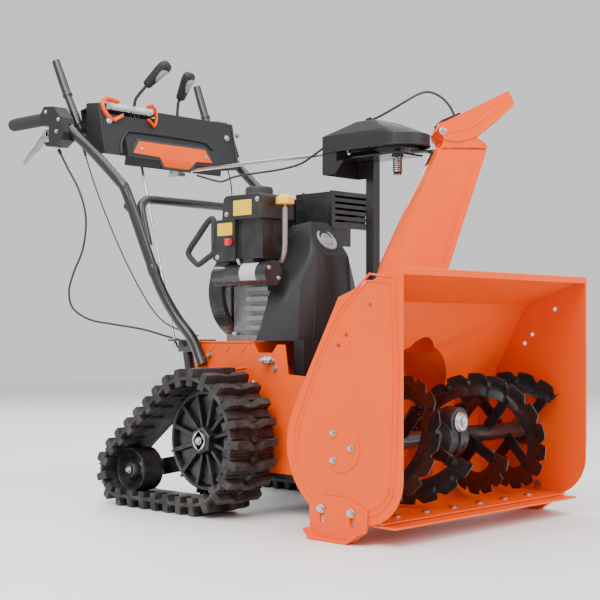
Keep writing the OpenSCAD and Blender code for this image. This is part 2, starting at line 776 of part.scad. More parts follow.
// A side view of the loop that a track follows, "up" outside the inner face of its carcass
function track_loop(up) = let (inner = lug_h + carcass_t - up) concat(
  arc(axle_at, tread_r - inner, loop_angle, 270, 40),
  arc(idler_at, idler_tread_r - inner, -90, loop_angle, 24));

// Length along the loop at the carcass's outer face, and a point on it as [back, height, turn]
loop_r0 = tread_r - lug_h;
loop_r1 = idler_tread_r - lug_h;
arc0 = loop_r0 * (270 - loop_angle) * PI / 180;
arc1 = loop_r1 * (loop_angle + 90) * PI / 180;
loop_length = arc0 + arc1 + 2 * wheelbase;
function on_arc(c, r, a) = [c[0] + r * cos(a), c[1] + r * sin(a), a - 90];
function on_loop(s) =
  s < arc0 ? on_arc(axle_at, loop_r0, loop_angle + s / loop_r0 * 180 / PI)
  : s < arc0 + wheelbase ? [axle_at[0] + s - arc0, axle_at[1] - loop_r0, 180]
  : s < arc0 + wheelbase + arc1 ? on_arc(idler_at, loop_r1, -90 + (s - arc0 - wheelbase) / loop_r1 * 180 / PI)
  : let (a = on_arc(idler_at, loop_r1, loop_angle), b = on_arc(axle_at, loop_r0, loop_angle),
         f = (s - arc0 - wheelbase - arc1) / wheelbase) [a[0] + (b[0] - a[0]) * f, a[1] + (b[1] - a[1]) * f, loop_angle - 90];

// One rubber track, drawn on the right: carcass, tread bars and the guide teeth inside its outer edge
module track_belt() {
  across(-track_in - track_w, -track_in) difference() {
    polygon(track_loop(carcass_t));
    polygon(track_loop(0));
  }
  for (i = [0 : lug_count - 1]) {
    p = on_loop((i + 0.5) * loop_length / lug_count);
    translate([0, p[0], p[1]]) rotate([p[2], 0, 0]) {
      block([-track_in - track_w, -8, -0.5], [-track_in - track_w / 2 - 8, 8, lug_h - 0.3]);
      block([-track_in - track_w / 2 + 8, -8, -0.5], [-track_in, 8, lug_h - 0.3]);
      block([-track_in - track_w / 2 - 10, -14, -0.5], [-track_in - track_w / 2 + 10, 2, lug_h - 1]);
      block([-track_in - track_w, -9, -carcass_t - 12], [-track_in - track_w + 30, 9, -carcass_t + 0.5]);
    }
  }
}

module track_belt_right() { color(rubber_black) from_front() track_belt(); }
module track_belt_left() { color(rubber_black) from_front() mirror([1, 0, 0]) track_belt(); }

// A drive wheel: spoked disc, rim and twelve prongs that drive the track
module drive_wheel() {
  difference() {
    union() {
      axle(axle_at, -wheel_out + 3, -168, 24);
      difference() {
        axle(axle_at, -244, -196, 110);
        axle(axle_at, -260, -180, 102);
      }
      difference() {
        axle(axle_at, -238, -232, 104);
        for (a = [0 : 30 : 330]) translate([-250, axle_back, tread_r]) rotate([a, 0, 0])
          rotate([90, 0, 90]) linear_extrude(30) polygon([[42, -3], [92, -16], [96, 0], [92, 16], [42, 3]]);
      }
      for (a = [0 : 30 : 330]) translate([0, axle_back, tread_r]) rotate([a + 15, 0, 0])
        block([-222, 106, -8], [-196, 130, 8]);
      for (a = [0 : 30 : 330]) translate([0, axle_back, tread_r]) rotate([a + 15, 0, 0])
        block([-246, 20, -3], [-232, 104, 3]);
    }
    axle(axle_at, -300, -150, 12.05);
    axle(axle_at, -wheel_out - 1, -wheel_out + 4.2, 20.05);
  }
}

module drive_wheels() { color(steel_black) from_front() both_sides() drive_wheel(); }

module idler_wheels() {
  color(steel_black) from_front() both_sides() difference() {
    union() {
      difference() {
        axle(idler_at, -258, -200, 51);
        axle(idler_at, -262, -196, 44);
      }
      axle(idler_at, -240, -222, 46);
      axle(idler_at, -260, -168, 20);
    }
    axle(idler_at, -270, -150, 9.05);
  }
}

// The arms and crossbar that carry the idlers and turn about the drive axle
module track_carriage() {
  arm = [[605, 130], [600, 175], [622, 182], [700, 128], [868, 96], [872, 66], [850, 60], [690, 92]];
  color(steel_black) from_front() {
    difference() {
      union() {
        both_sides() {
          across(-163, -155) polygon(arm);
          axle(axle_at, -163, -153, 26);
          axle(idler_at, -262, -155, 9);
        }
        axle([785, 105], -157, 157, 11);
      }
      axle(axle_at, -170, 170, 12.05);
    }
    block([-106, 778, 108], [-94, 800, 128]);
  }
}

strut_low = [790, 142];
strut_high = [836, 362];
strut_way = (strut_high - strut_low) / norm(strut_high - strut_low);
function on_strut(d) = [-100, strut_low[0] + strut_way[0] * d, strut_low[1] + strut_way[1] * d];

module lock_strut() {
  color(steel_black) from_front() difference() {
    union() {
      bar(on_strut(104), on_strut(212), 13);
      block([-116, 752.2, 350], [-110, 850, 376]);
      block([-90, 752.2, 350], [-84, 850, 376]);
      axle(strut_high, -112, -88, 9);
      block([-144, 752.2, 376], [-84, 856, 380]);
    }
    translate([-130, 848, 360]) cylinder(r = 9, h = 30);
    bar(on_strut(90), on_strut(204), 6.5);
  }
}

module strut_rod() {
  color(zinc) from_front() {
    bar(on_strut(4), on_strut(130), 6);
    bar(on_strut(-4), on_strut(12), 9);
  }
}

// ---------- engine ----------

module engine_block() {
  color(cast_grey) from_front() {
    difference() {
      union() {
        block([-76, 566, 388], [76, 699, 560]);
        block([-100, 572, 376.2], [96, 698, 390]);
        for (z = [402 : 22 : 490]) block([-94, 570, z], [-60, 640, z + 10]);
        translate([0, 0, crank_z]) rotate([0, -32, 0]) {
          for (x = [72 : 12 : 132]) block([x, 580, -46], [x + 5, 692, 46]);
          block([40, 592, -34], [146, 682, 34]);
          block([142, 578, -50], [166, 694, 50]);
          block([166, 596, -34], [184, 676, 30]);
        }
        along_y(0, crank_z, 556, 570, 40);
      }
      along_y(0, crank_z, 540, 710, 11.05);
      for (x = [-85, 85], y = [585, 685]) translate([x, y, 360]) cylinder(r = 4.3, h = 40);
    }
    sweep([[-118, 492, 672], [-118, 492, 620], [-118, 493, 578], [-113, 507, 553], [-104, 540, 546],
           [-94, 568, 542], [-72, 588, 530]], 6, 3, 10);
  }
}

module crankshaft() {
  color(zinc) from_front() {
    along_y(0, crank_z, 478, 742, 11);
    pulley(crank_z, 30, auger_belt_y);
    pulley(crank_z, 26, drive_belt_y);
    along_y(0, crank_z, 704, 730, 98);
  }
}

module blower_housing() {
  color(steel_black) from_front() {
    difference() {
      union() {
        along_y(0, crank_z, 700, 745, 114);
        block([-70, 700, 560], [120, 745, 622]);
        along_y(0, crank_z, 745, 757, 88);
        block([-92, 700, 566], [-60, 754, 606]);
      }
      along_y(0, crank_z, 690, 743, 104);
      for (a = [0 : 30 : 330]) translate([0, 0, crank_z]) rotate([0, a, 0]) block([36, 740, -5], [74, 760, 5]);
    }
  }
}

module starter_motor() {
  color(cast_grey) from_front() {
    along_y(-140, 527, 508, 640, 26);
    along_y(-140, 527, 505, 516, 28);
    along_y(-134, 524, 636, 690, 24);
    along_y(-134, 524, 690, 699, 16);
    block([-150, 560, 548], [-120, 600, 560]);
  }
}

// The plastic covers on the right of the engine, and the fuel tank behind them
module engine_covers() {
  color(plastic_grey) from_front() {
    across(-166, -62) polygon([[519, 648], [644, 648], [638, 696], [630, 702], [524, 702], [519, 696]]);
    block([-164, 604, 556], [-88, 668, 650]);
    block([-150, 530, 560], [-88, 606, 650]);
    block([-90, 570, 560.2], [-60, 698, 640]);
  }
  color(steel_black) from_front() {
    block([-60, 634, 624], [150, 740, 700]);
    block([-48, 642, 700], [138, 732, 714]);
  }
}

module muffler() {
  color(steel_black) from_front() difference() {
    union() {
      block([56, 516, 644], [182, 618, 718]);
      block([50, 505, 638], [188, 511, 724]);
      block([52, 511, 719], [186, 622, 722]);
      block([52, 511, 642], [55, 622, 722]);
      block([96, 570, 621], [130, 600, 646]);
      block([58, 508, 596], [120, 511, 640]);
    }
    for (z = [652 : 14 : 712]) block([62, 500, z], [176, 514, z + 5]);
  }
}

// The D-shaped grip of the recoil starter, parked against its guide
module recoil_handle() {
  color(rubber_black) from_front() {
    across(-88, -72) difference() {
      polygon([[757, 668], [766, 677], [784, 668], [858, 602], [862, 580], [826, 552], [812, 552],
               [760, 578], [755.4, 592]]);
      polygon([[776, 652], [784, 650], [840, 592], [842, 584], [822, 568], [814, 568], [776, 586], [772, 594]]);
    }
  }
}

module dipstick() {
  color([1, 0.72, 0.05]) from_front() {
    translate([-118, 492, 678]) cylinder(r = 21, h = 22);
    translate([-118, 492, 672.3]) cylinder(r = 8, h = 8);
  }
}

module fuel_cap() { color(steel_black) from_front() translate([-6, 686, 714.3]) cylinder(r = 33, h = 27); }

// The red key that stops the engine when it is pulled out
module ignition_key() {
  color("red") from_front() {
    axle([616, 598], -178, -164.3, 9);
  }
}

// ---------- fasteners ----------

// A bolt head on a side face at a [back, height] point, outside x, pointing to -X
module side_bolt(at, x, r) {
  axle(at, x - 2, x, r * 1.25);
  translate([x - 8, at[0], at[1]]) rotate([0, 90, 0]) cylinder(r = r, h = 6.5, $fn = 6);
}

module fasteners() {
  color(zinc) from_front() {
    both_sides() {
      for (p = [[195, 60], [119, 58]]) {
        side_bolt(p, -intake_w / 2 - 4.8, 7);
        axle(p, -intake_w / 2 - 5, -plate_x + 6, 4.5);
        axle(p, -plate_x + 1.5, -plate_x + 7, 8);
      }
      for (a = [0 : 120 : 240])
        side_bolt([auger_back + 30 * cos(a + 180), auger_z + 30 * sin(a + 180)], -intake_w / 2 - 3, 5);
      for (p = [[496, 334], [490, 318], [520, 338], [700, 345]]) side_bolt(p, -150, 5);
    }
    for (x = [-225, -135, -45, 45, 135, 225]) translate([x, 90, 31]) {
      translate([0, 0, 12.6]) cylinder(r = 8, h = 3);
      cylinder(r = 4.1, h = 14);
    }
    for (x = [-85, 85], y = [585, 685]) translate([x, y, 0]) {
      translate([0, 0, 362]) cylinder(r = 4.2, h = 36);
      translate([0, 0, 390.2]) cylinder(r = 8, h = 7, $fn = 6);
    }
    translate([210, 988, 916]) rotate([70, 0, 0]) cylinder(r = 8, h = 6, $fn = 6);
  }
}

auger_housing();
side_plate_right();
side_plate_left();
impeller_drum();
scraper_blade();
skid_shoe_right();
skid_shoe_left();
auger_gearbox();
auger_bearings();
auger_shaft();
auger_right();
auger_left();
impeller();
impeller_shaft();
chute();
chute_arm();
deflector();
chute_post();
gear_cover();
chute_rod();
chute_lever();
speed_lever();
speed_rod();
dash_panel();
headlight();
handlebars();
handle_hoop();
grips();
lever_mounts();
clutch_lever_right();
clutch_lever_left();
lock_trigger();
control_cables();
deflector_cable();
tractor_frame();
belly_pan();
belt_cover();
belts_and_chain();
drive_disc();
friction_wheel();
hex_shaft();
drive_axle();
drive_wheels();
track_carriage();
track_belt_right();
track_belt_left();
idler_wheels();
lock_strut();
strut_rod();
engine_block();
crankshaft();
blower_housing();
starter_motor();
engine_covers();
muffler();
recoil_handle();
dipstick();
fuel_cap();
ignition_key();
fasteners();
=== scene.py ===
"""The looks of a two stage snowblower on rubber tracks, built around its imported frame, in metres.

Shapes are worked out as [across, back, height]: across is +X, back is the distance behind the intake's front
edge, and height is +Z. A piece is moved into the frame's own Y once, when its mesh is made.
"""
import logging
import math
from dataclasses import dataclass, field
from enum import Enum

import bmesh
import bpy
import numpy as np
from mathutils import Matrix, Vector


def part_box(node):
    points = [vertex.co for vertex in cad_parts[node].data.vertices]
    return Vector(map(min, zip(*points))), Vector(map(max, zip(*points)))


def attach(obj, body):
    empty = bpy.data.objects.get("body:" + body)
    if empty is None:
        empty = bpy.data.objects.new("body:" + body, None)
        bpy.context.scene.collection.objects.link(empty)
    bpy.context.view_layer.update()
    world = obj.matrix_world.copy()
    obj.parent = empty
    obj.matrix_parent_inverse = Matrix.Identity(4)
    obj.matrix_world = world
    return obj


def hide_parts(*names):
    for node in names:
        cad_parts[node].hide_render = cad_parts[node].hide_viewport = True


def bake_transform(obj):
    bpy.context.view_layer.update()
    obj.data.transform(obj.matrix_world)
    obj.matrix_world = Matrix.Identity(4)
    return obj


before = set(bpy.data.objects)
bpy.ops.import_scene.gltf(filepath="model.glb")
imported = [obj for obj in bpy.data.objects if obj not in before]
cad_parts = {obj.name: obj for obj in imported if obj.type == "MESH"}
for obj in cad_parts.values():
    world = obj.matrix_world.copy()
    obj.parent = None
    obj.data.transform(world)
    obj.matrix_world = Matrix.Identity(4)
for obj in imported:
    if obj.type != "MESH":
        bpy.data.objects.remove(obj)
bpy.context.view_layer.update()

FRONT_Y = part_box("side_plate_right")[0].y
LOG = logging.getLogger("snowblower")
Array = np.ndarray


# ---------- shapes ----------

@dataclass(frozen=True)
class Shape:
    """A closed surface or several: points of shape (n, 3) and faces as lists of point numbers."""

    points: Array
    faces: list[list[int]]

    def __add__(self, other: "Shape") -> "Shape":
        """Returns both shapes as one."""
        shifted = [[i + len(self.points) for i in face] for face in other.faces]
        return Shape(np.vstack([self.points, other.points]), self.faces + shifted)

    def mirrored(self) -> "Shape":
        """Returns the shape on the other side of the machine."""
        return Shape(self.points * [-1.0, 1.0, 1.0], [face[::-1] for face in self.faces])

    def paired(self) -> "Shape":
        """Returns the shape and its mirror image."""
        return self + self.mirrored()

    def moved(self, offset: tuple[float, float, float]) -> "Shape":
        """Returns the shape moved by an offset."""
        return Shape(self.points + np.array(offset), self.faces)

    def turned(self, matrix: Array) -> "Shape":
        """Returns the shape turned by a 3 by 3 matrix about the origin."""
        return Shape(self.points @ matrix.T, self.faces)


def joined(shapes: list[Shape]) -> Shape:
    """Joins shapes into one.

    Args:
        shapes: at least one shape.

    Returns:
        One shape that holds them all, apart from each other.
    """
    starts = np.cumsum([0] + [len(s.points) for s in shapes[:-1]])
    faces = [[i + int(k) for i in face] for s, k in zip(shapes, starts) for face in s.faces]
    return Shape(np.vstack([s.points for s in shapes]), faces)


def unit(vector: Array) -> Array:
    """Returns the vectors scaled to length one along their last axis."""
    return vector / np.linalg.norm(vector, axis=-1, keepdims=True)


def turn(axis: str, degrees: float) -> Array:
    """Returns the matrix of a right-handed turn about the X, Y or Z axis."""
    c, s = math.cos(math.radians(degrees)), math.sin(math.radians(degrees))
    rows = {"X": [[1, 0, 0], [0, c, -s], [0, s, c]], "Y": [[c, 0, s], [0, 1, 0], [-s, 0, c]],
            "Z": [[c, -s, 0], [s, c, 0], [0, 0, 1]]}
    return np.array(rows[axis])


def pointing(way: tuple[float, float, float]) -> Array:
    """Returns the matrix that turns +Z to a given way."""
    z = unit(np.array(way, float))
    x = unit(np.cross([0.31, 1.0, 0.17] if abs(z[1]) < 0.9 else [1.0, 0.2, 0.1], z))
    return np.stack([x, np.cross(z, x), z], axis=1)


def grid(points: Array, wrap_u: bool = False, wrap_v: bool = False, caps: bool = False) -> Shape:
    """Makes a surface from a grid of points.

    Args:
        points: the surface's points S(u, v), of shape (n, m, 3).
        wrap_u: joins the last row to the first.
        wrap_v: joins the last column to the first.
        caps: closes the first and last rows with a flat face each.

    Returns:
        The surface, with one four-sided face per cell.
    """
    n, m = points.shape[:2]
    index = np.arange(n * m).reshape(n, m)
    low, high = (index, np.roll(index, -1, 0)) if wrap_u else (index[:-1], index[1:])
    if wrap_v:
        quads = np.stack([low, np.roll(low, -1, 1), np.roll(high, -1, 1), high], -1)
    else:
        quads = np.stack([low[:, :-1], low[:, 1:], high[:, 1:], high[:, :-1]], -1)
    faces = quads.reshape(-1, 4).tolist()
    if caps:
        faces += [index[0, ::-1].tolist(), index[-1].tolist()]
    return Shape(points.reshape(-1, 3), faces)


def smooth(points: Array, steps: int, closed: bool = False) -> Array:
    """Runs a Catmull-Rom curve through points.

    Each stretch from b to c is the cubic whose slope at b is half of (c - a) and at c half of (d - b), with a
    and d are the points before and after.

    Args:
        points: the points, of shape (n, any).
        steps: how many pieces each stretch is cut into.
        closed: whether the curve comes back to its start.

    Returns:
        The curve's points.
    """
    p = np.asarray(points, float)
    if closed:
        a, b, c, d = np.roll(p, 1, 0), p, np.roll(p, -1, 0), np.roll(p, -2, 0)
    else:
        a, b, c, d = np.vstack([p[:1], p[:-2]]), p[:-1], p[1:], np.vstack([p[2:], p[-1:]])
    a, b, c, d = (q[:, None, :] for q in (a, b, c, d))
    t = (np.arange(steps) / steps)[None, :, None]
    curve = 0.5 * (2 * b + t * (c - a) + t ** 2 * (2 * a - 5 * b + 4 * c - d) + t ** 3 * (3 * b - a - 3 * c + d))
    curve = curve.reshape(-1, p.shape[1])
    return curve if closed else np.vstack([curve, p[-1:]])


def sweep(route: Array, radius: float | Array, sides: int = 20, steps: int = 6, flat: float = 1.0,
          closed: bool = False) -> Shape:
    """Carries an ellipse along a smooth curve.

    S(u, v) = c(u) + r(u) (flat cos v A(u) + sin v B(u)), where A and B stand square to the curve.

    Args:
        route: points that the curve runs through, of shape (n, 3).
        radius: one radius, or one for each point of the route.
        sides: points round the ellipse.
        steps: rings for each stretch of the route.
        flat: the ellipse's width over its height.
        closed: whether the route is a loop.

    Returns:
        A closed tube.
    """
    route = np.asarray(route, float)
    radii = np.broadcast_to(np.asarray(radius, float), (len(route),))
    curve = smooth(np.column_stack([route, radii]), steps, closed)
    centre, r = curve[:, :3], curve[:, 3]
    if closed:
        way = unit(np.roll(centre, -1, 0) - np.roll(centre, 1, 0))
    else:
        way = unit(np.gradient(centre, axis=0))
    a = unit(np.cross(way, [1.0, 0.2, 0.1]))
    b = np.cross(way, a)
    v = np.linspace(0, 2 * np.pi, sides, endpoint=False)[None, :, None]
    ring = flat * np.cos(v) * b[:, None] + np.sin(v) * a[:, None]
    return grid(centre[:, None] + r[:, None, None] * ring, wrap_u=closed, wrap_v=True, caps=not closed)


def lathe(profile: list[tuple[float, float]], origin: tuple[float, float, float],
          way: tuple[float, float, float], sides: int = 48, wrap: bool = False) -> Shape:
    """Turns a profile about an axis.

    S(u, v) = origin + along(u) way + radius(u) (cos v A + sin v B).

    Args:
        profile: [along, radius] pairs.
        origin: a point on the axis.
        way: the axis's direction.
        sides: points round the axis.
        wrap: whether the profile is a loop, as a ring's is.

    Returns:
        A closed surface.
    """
    p = np.array(profile, float)
    v = np.linspace(0, 2 * np.pi, sides, endpoint=False)
    ring = np.stack([np.cos(v), np.sin(v)], -1)
    flat = np.concatenate([p[:, 1, None, None] * ring[None], np.broadcast_to(p[:, 0, None, None],
                                                                             (len(p), sides, 1))], -1)
    return grid(flat @ pointing(way).T + np.array(origin), wrap_u=wrap, wrap_v=True, caps=not wrap)


def prism(outline: Array, low: float, high: float, axis: str = "X") -> Shape:
    """Extrudes an outline along X, Y or Z.

    Args:
        outline: corners in the plane's two directions, in X, Y, Z order.
        low: where it begins along the axis.
        high: where it ends.
        axis: "X", "Y" or "Z".

    Returns:
        A closed prism with flat ends.
    """
    corners = np.asarray(outline, float)
    column = {"X": 0, "Y": 1, "Z": 2}[axis]
    ends = [np.insert(corners, column, value, axis=1) for value in (low, high)]
    return grid(np.stack(ends), wrap_v=True, caps=True)


def block(low: tuple[float, float, float], high: tuple[float, float, float]) -> Shape:
    """Makes a block between two corners."""
    (x0, y0, z0), (x1, y1, z1) = low, high
    return prism(np.array([[x0, y0], [x1, y0], [x1, y1], [x0, y1]]), z0, z1, "Z")


def rounded(outline: list[tuple[float, float]], radius: float, steps: int = 5) -> Array:
    """Rounds an outline's corners.

    Each corner p becomes the quadratic curve (1 - t)^2 a + 2 t (1 - t) p + t^2 b, where a and b lie on its two
    sides, a radius from it or half of the side where that is shorter.

    Args:
        outline: corners in order.
        radius: how far from each corner the curve begins.
        steps: pieces in each curve.

    Returns:
        The rounded outline's points.
    """
    p = np.array(outline, float)
    before, after = np.roll(p, 1, 0) - p, np.roll(p, -1, 0) - p
    a, b = ((p + unit(side) * np.minimum(radius, 0.49 * np.linalg.norm(side, axis=1, keepdims=True)))[:,
                                                                                                      None]
            for side in (before, after))
    t = np.linspace(0, 1, steps + 1)[None, :, None]
    return ((1 - t) ** 2 * a + 2 * t * (1 - t) * p[:, None] + t ** 2 * b).reshape(-1, 2)


def repeated(shape: Shape, matrices: Array, offsets: Array) -> Shape:
    """Repeats a shape, turned by each matrix and then moved by each offset, in one array operation."""
    points = np.einsum("kij,nj->kni", np.asarray(matrices), shape.points) + np.asarray(offsets)[:, None]
    count = len(shape.points)
    faces = [[i + k * count for i in face] for k in range(len(points)) for face in shape.faces]
    return Shape(points.reshape(-1, 3), faces)


def bolts(places: list[tuple[float, float, float]], way: tuple[float, float, float], radius: float) -> Shape:
    """Makes hexagon bolts with washers, each standing on its place and pointing one way."""
    r = radius
    washer = lathe([(0, 0), (0, r * 1.3), (r * 0.22, r * 1.3), (r * 0.26, r * 1.22), (r * 0.26, 0)],
                   (0, 0, 0), (0, 0, 1), 20)
    head = lathe([(r * 0.2, 0), (r * 0.2, r), (r * 0.8, r), (r * 0.95, r * 0.82), (r * 0.95, 0)], (0, 0, 0),
                 (0, 0, 1), 6)
    one = washer + head
    return repeated(one, np.repeat(pointing(way)[None], len(places), 0), np.array(places, float))


# ---------- finishes ----------

class Grain(Enum):
    """The small relief of a finish."""

    PEEL = "orange peel of powder coat"
    MOULDED = "fine spark grain of moulded plastic"
    RUBBER = "dull, slightly pitted rubber"
    DRAWN = "fine lines of drawn or plated steel"
    CAST = "sand cast skin"


@dataclass(frozen=True)
class Finish:
    """One finish: its colour, gloss and relief, made as a procedural material the first time it is used."""

    name: str
    slot: str
    colour: tuple[float, float, float]
    rough: tuple[float, float]
    grain: Grain
    relief: float = 0.1
    metal: float = 0.0
    coat: float = 0.0
    variation: float = 0.12
    dust: float = 0.0
    clear: float = 0.0
    shine: float = 0.5

    def material(self) -> bpy.types.Material:
        """Returns the material, and builds it on first use."""
        found = bpy.data.materials.get(self.name)
        return found if found else self._build()

    def _build(self) -> bpy.types.Material:
        """Builds the node graph: broad colour drift, dust near the ground, gloss drift and small relief."""
        material = bpy.data.materials.new(self.name)
        material.use_nodes = True
        tree = material.node_tree
        shader = tree.nodes["Principled BSDF"]
        shader.inputs["Metallic"].default_value = self.metal
        shader.inputs["Coat Weight"].default_value = self.coat
        shader.inputs["Coat Roughness"].default_value = 0.08
        shader.inputs["Specular IOR Level"].default_value = self.shine
        shader.inputs["Transmission Weight"].default_value = self.clear
        place = tree.nodes.new("ShaderNodeTexCoord")
        drift = self._noise(tree, place.outputs["Object"], 7.0, 3.0)
        fine = self._noise(tree, place.outputs["Object"], 90.0, 4.0)
        colour = self._mix(tree, drift, self._shade(1 - self.variation),
                           self._shade(1 + self.variation * 0.6))
        speck = self._range(tree, fine, (0.35, 0.75), (0.0, 0.25 * self.variation / 0.12))
        colour = self._mix(tree, speck, colour, self._shade(1 - 2.2 * self.variation))
        if self.dust > 0:
            colour = self._mix(tree, self._dust(tree, place), colour, (0.33, 0.31, 0.28, 1.0))
        tree.links.new(colour, shader.inputs["Base Color"])
        gloss = self._noise(tree, place.outputs["Object"], 26.0, 5.0)
        tree.links.new(self._range(tree, gloss, (0.3, 0.7), self.rough), shader.inputs["Roughness"])
        bump = tree.nodes.new("ShaderNodeBump")
        bump.inputs["Strength"].default_value = self.relief
        bump.inputs["Distance"].default_value = 0.0006
        tree.links.new(self._relief(tree, place), bump.inputs["Height"])
        tree.links.new(bump.outputs["Normal"], shader.inputs["Normal"])
        return material

    def _shade(self, factor: float) -> tuple[float, float, float, float]:
        """Returns the finish's colour made lighter or darker."""
        return tuple(min(1.0, c * factor) for c in self.colour) + (1.0,)

    @staticmethod
    def _noise(tree: bpy.types.NodeTree, place: bpy.types.NodeSocket, scale: float,
               detail: float) -> bpy.types.NodeSocket:
        """Adds a noise and returns its value."""
        node = tree.nodes.new("ShaderNodeTexNoise")
        node.inputs["Scale"].default_value = scale
        node.inputs["Detail"].default_value = detail
        tree.links.new(place, node.inputs["Vector"])
        return node.outputs["Fac"]

    @staticmethod
    def _range(tree: bpy.types.NodeTree, value: bpy.types.NodeSocket, source: tuple[float, float],
               target: tuple[float, float]) -> bpy.types.NodeSocket:
        """Maps one range of values to another and returns the result."""
        node = tree.nodes.new("ShaderNodeMapRange")
        for key, number in zip(("From Min", "From Max", "To Min", "To Max"), source + target):
            node.inputs[key].default_value = number
        tree.links.new(value, node.inputs["Value"])
        return node.outputs["Result"]

    @staticmethod
    def _mix(tree: bpy.types.NodeTree, factor: bpy.types.NodeSocket, first: object,
             second: object) -> bpy.types.NodeSocket:
        """Mixes two colours, each a socket or four numbers, and returns the result."""
        node = tree.nodes.new("ShaderNodeMix")
        node.data_type = "RGBA"
        tree.links.new(factor, node.inputs[0])
        for socket, colour in ((node.inputs[6], first), (node.inputs[7], second)):
            if isinstance(colour, tuple):
                socket.default_value = colour
            else:
                tree.links.new(colour, socket)
        return node.outputs[2]

    def _dust(self, tree: bpy.types.NodeTree, place: bpy.types.Node) -> bpy.types.NodeSocket:
        """Returns a patchy factor that is strongest near the ground."""
        height = tree.nodes.new("ShaderNodeSeparateXYZ")
        tree.links.new(place.outputs["Object"], height.inputs["Vector"])
        low = self._range(tree, height.outputs["Z"], (0.0, 0.35), (self.dust, self.dust * 0.35))
        patch = self._range(tree, self._noise(tree, place.outputs["Object"], 38.0, 6.0), (0.42, 0.68),
                            (0.0, 1.0))
        product = tree.nodes.new("ShaderNodeMath")
        product.operation = "MULTIPLY"
        tree.links.new(low, product.inputs[0])
        tree.links.new(patch, product.inputs[1])
        return product.outputs["Value"]

    def _relief(self, tree: bpy.types.NodeTree, place: bpy.types.Node) -> bpy.types.NodeSocket:
        """Returns the height of the finish's small relief."""
        scales = {Grain.PEEL: (420.0, 1.0), Grain.MOULDED: (1500.0, 2.0), Grain.RUBBER: (520.0, 6.0),
                  Grain.DRAWN: (340.0, 3.0), Grain.CAST: (620.0, 7.0)}
        vector = place.outputs["Object"]
        if self.grain is Grain.DRAWN:
            mapping = tree.nodes.new("ShaderNodeMapping")
            mapping.inputs["Scale"].default_value = (0.25, 1.0, 4.0)
            tree.links.new(vector, mapping.inputs["Vector"])
            vector = mapping.outputs["Vector"]
        return self._noise(tree, vector, *scales[self.grain])


ORANGE = Finish("orange_powder_coat", "orange_paint", (0.86, 0.088, 0.001), (0.32, 0.44), Grain.PEEL, 0.08,
                coat=0.04, variation=0.04, shine=0.22)
BLACK = Finish("black_powder_coat", "black_paint", (0.014, 0.014, 0.015), (0.2, 0.34), Grain.PEEL, 0.14,
               coat=0.3, variation=0.2)
BLACK_DUSTY = Finish("black_paint_low", "black_paint", (0.013, 0.013, 0.014), (0.3, 0.48), Grain.PEEL, 0.16,
                     coat=0.1, variation=0.3, dust=0.12)
DARK_PLASTIC = Finish("dark_grey_plastic", "dark_plastic", (0.015, 0.0155, 0.017), (0.42, 0.55),
                      Grain.MOULDED, 0.16, variation=0.1, shine=0.35)
BLACK_PLASTIC = Finish("black_plastic", "black_plastic", (0.014, 0.014, 0.015), (0.36, 0.5), Grain.MOULDED,
                       0.14, variation=0.15)
GREY_PLASTIC = Finish("light_grey_plastic", "dark_plastic", (0.28, 0.285, 0.295), (0.45, 0.58), Grain.MOULDED,
                      0.12, variation=0.08)
RUBBER = Finish("black_rubber", "black_rubber", (0.018, 0.018, 0.019), (0.6, 0.8), Grain.RUBBER, 0.3,
                variation=0.2)
TREAD = Finish("track_rubber", "black_rubber", (0.022, 0.019, 0.018), (0.55, 0.8), Grain.RUBBER, 0.4,
               variation=0.3, dust=0.16)
ZINC = Finish("zinc_plate", "zinc_steel", (0.55, 0.56, 0.58), (0.24, 0.42), Grain.DRAWN, 0.12, metal=1.0,
              variation=0.15)
CAST = Finish("cast_alloy", "cast_metal", (0.36, 0.37, 0.39), (0.38, 0.6), Grain.CAST, 0.45, metal=0.85,
              variation=0.22)
YELLOW = Finish("yellow_plastic", "yellow_plastic", (0.93, 0.42, 0.012), (0.3, 0.42), Grain.MOULDED, 0.08,
                coat=0.15, variation=0.06)
RED = Finish("red_plastic", "red_plastic", (0.62, 0.02, 0.012), (0.3, 0.4), Grain.MOULDED, 0.08, coat=0.2,
             variation=0.08)
LABEL = Finish("blank_label", "yellow_plastic", (0.82, 0.52, 0.004), (0.35, 0.45), Grain.MOULDED, 0.04,
               variation=0.05)
PALE_LABEL = Finish("blank_pale_label", "cast_metal", (0.5, 0.51, 0.52), (0.35, 0.45), Grain.MOULDED, 0.04,
                    variation=0.05)
LENS = Finish("clear_lens", "clear_lens", (0.30, 0.34, 0.32), (0.06, 0.14), Grain.DRAWN, 0.5, clear=0.75,
              variation=0.04)


# ---------- making pieces ----------

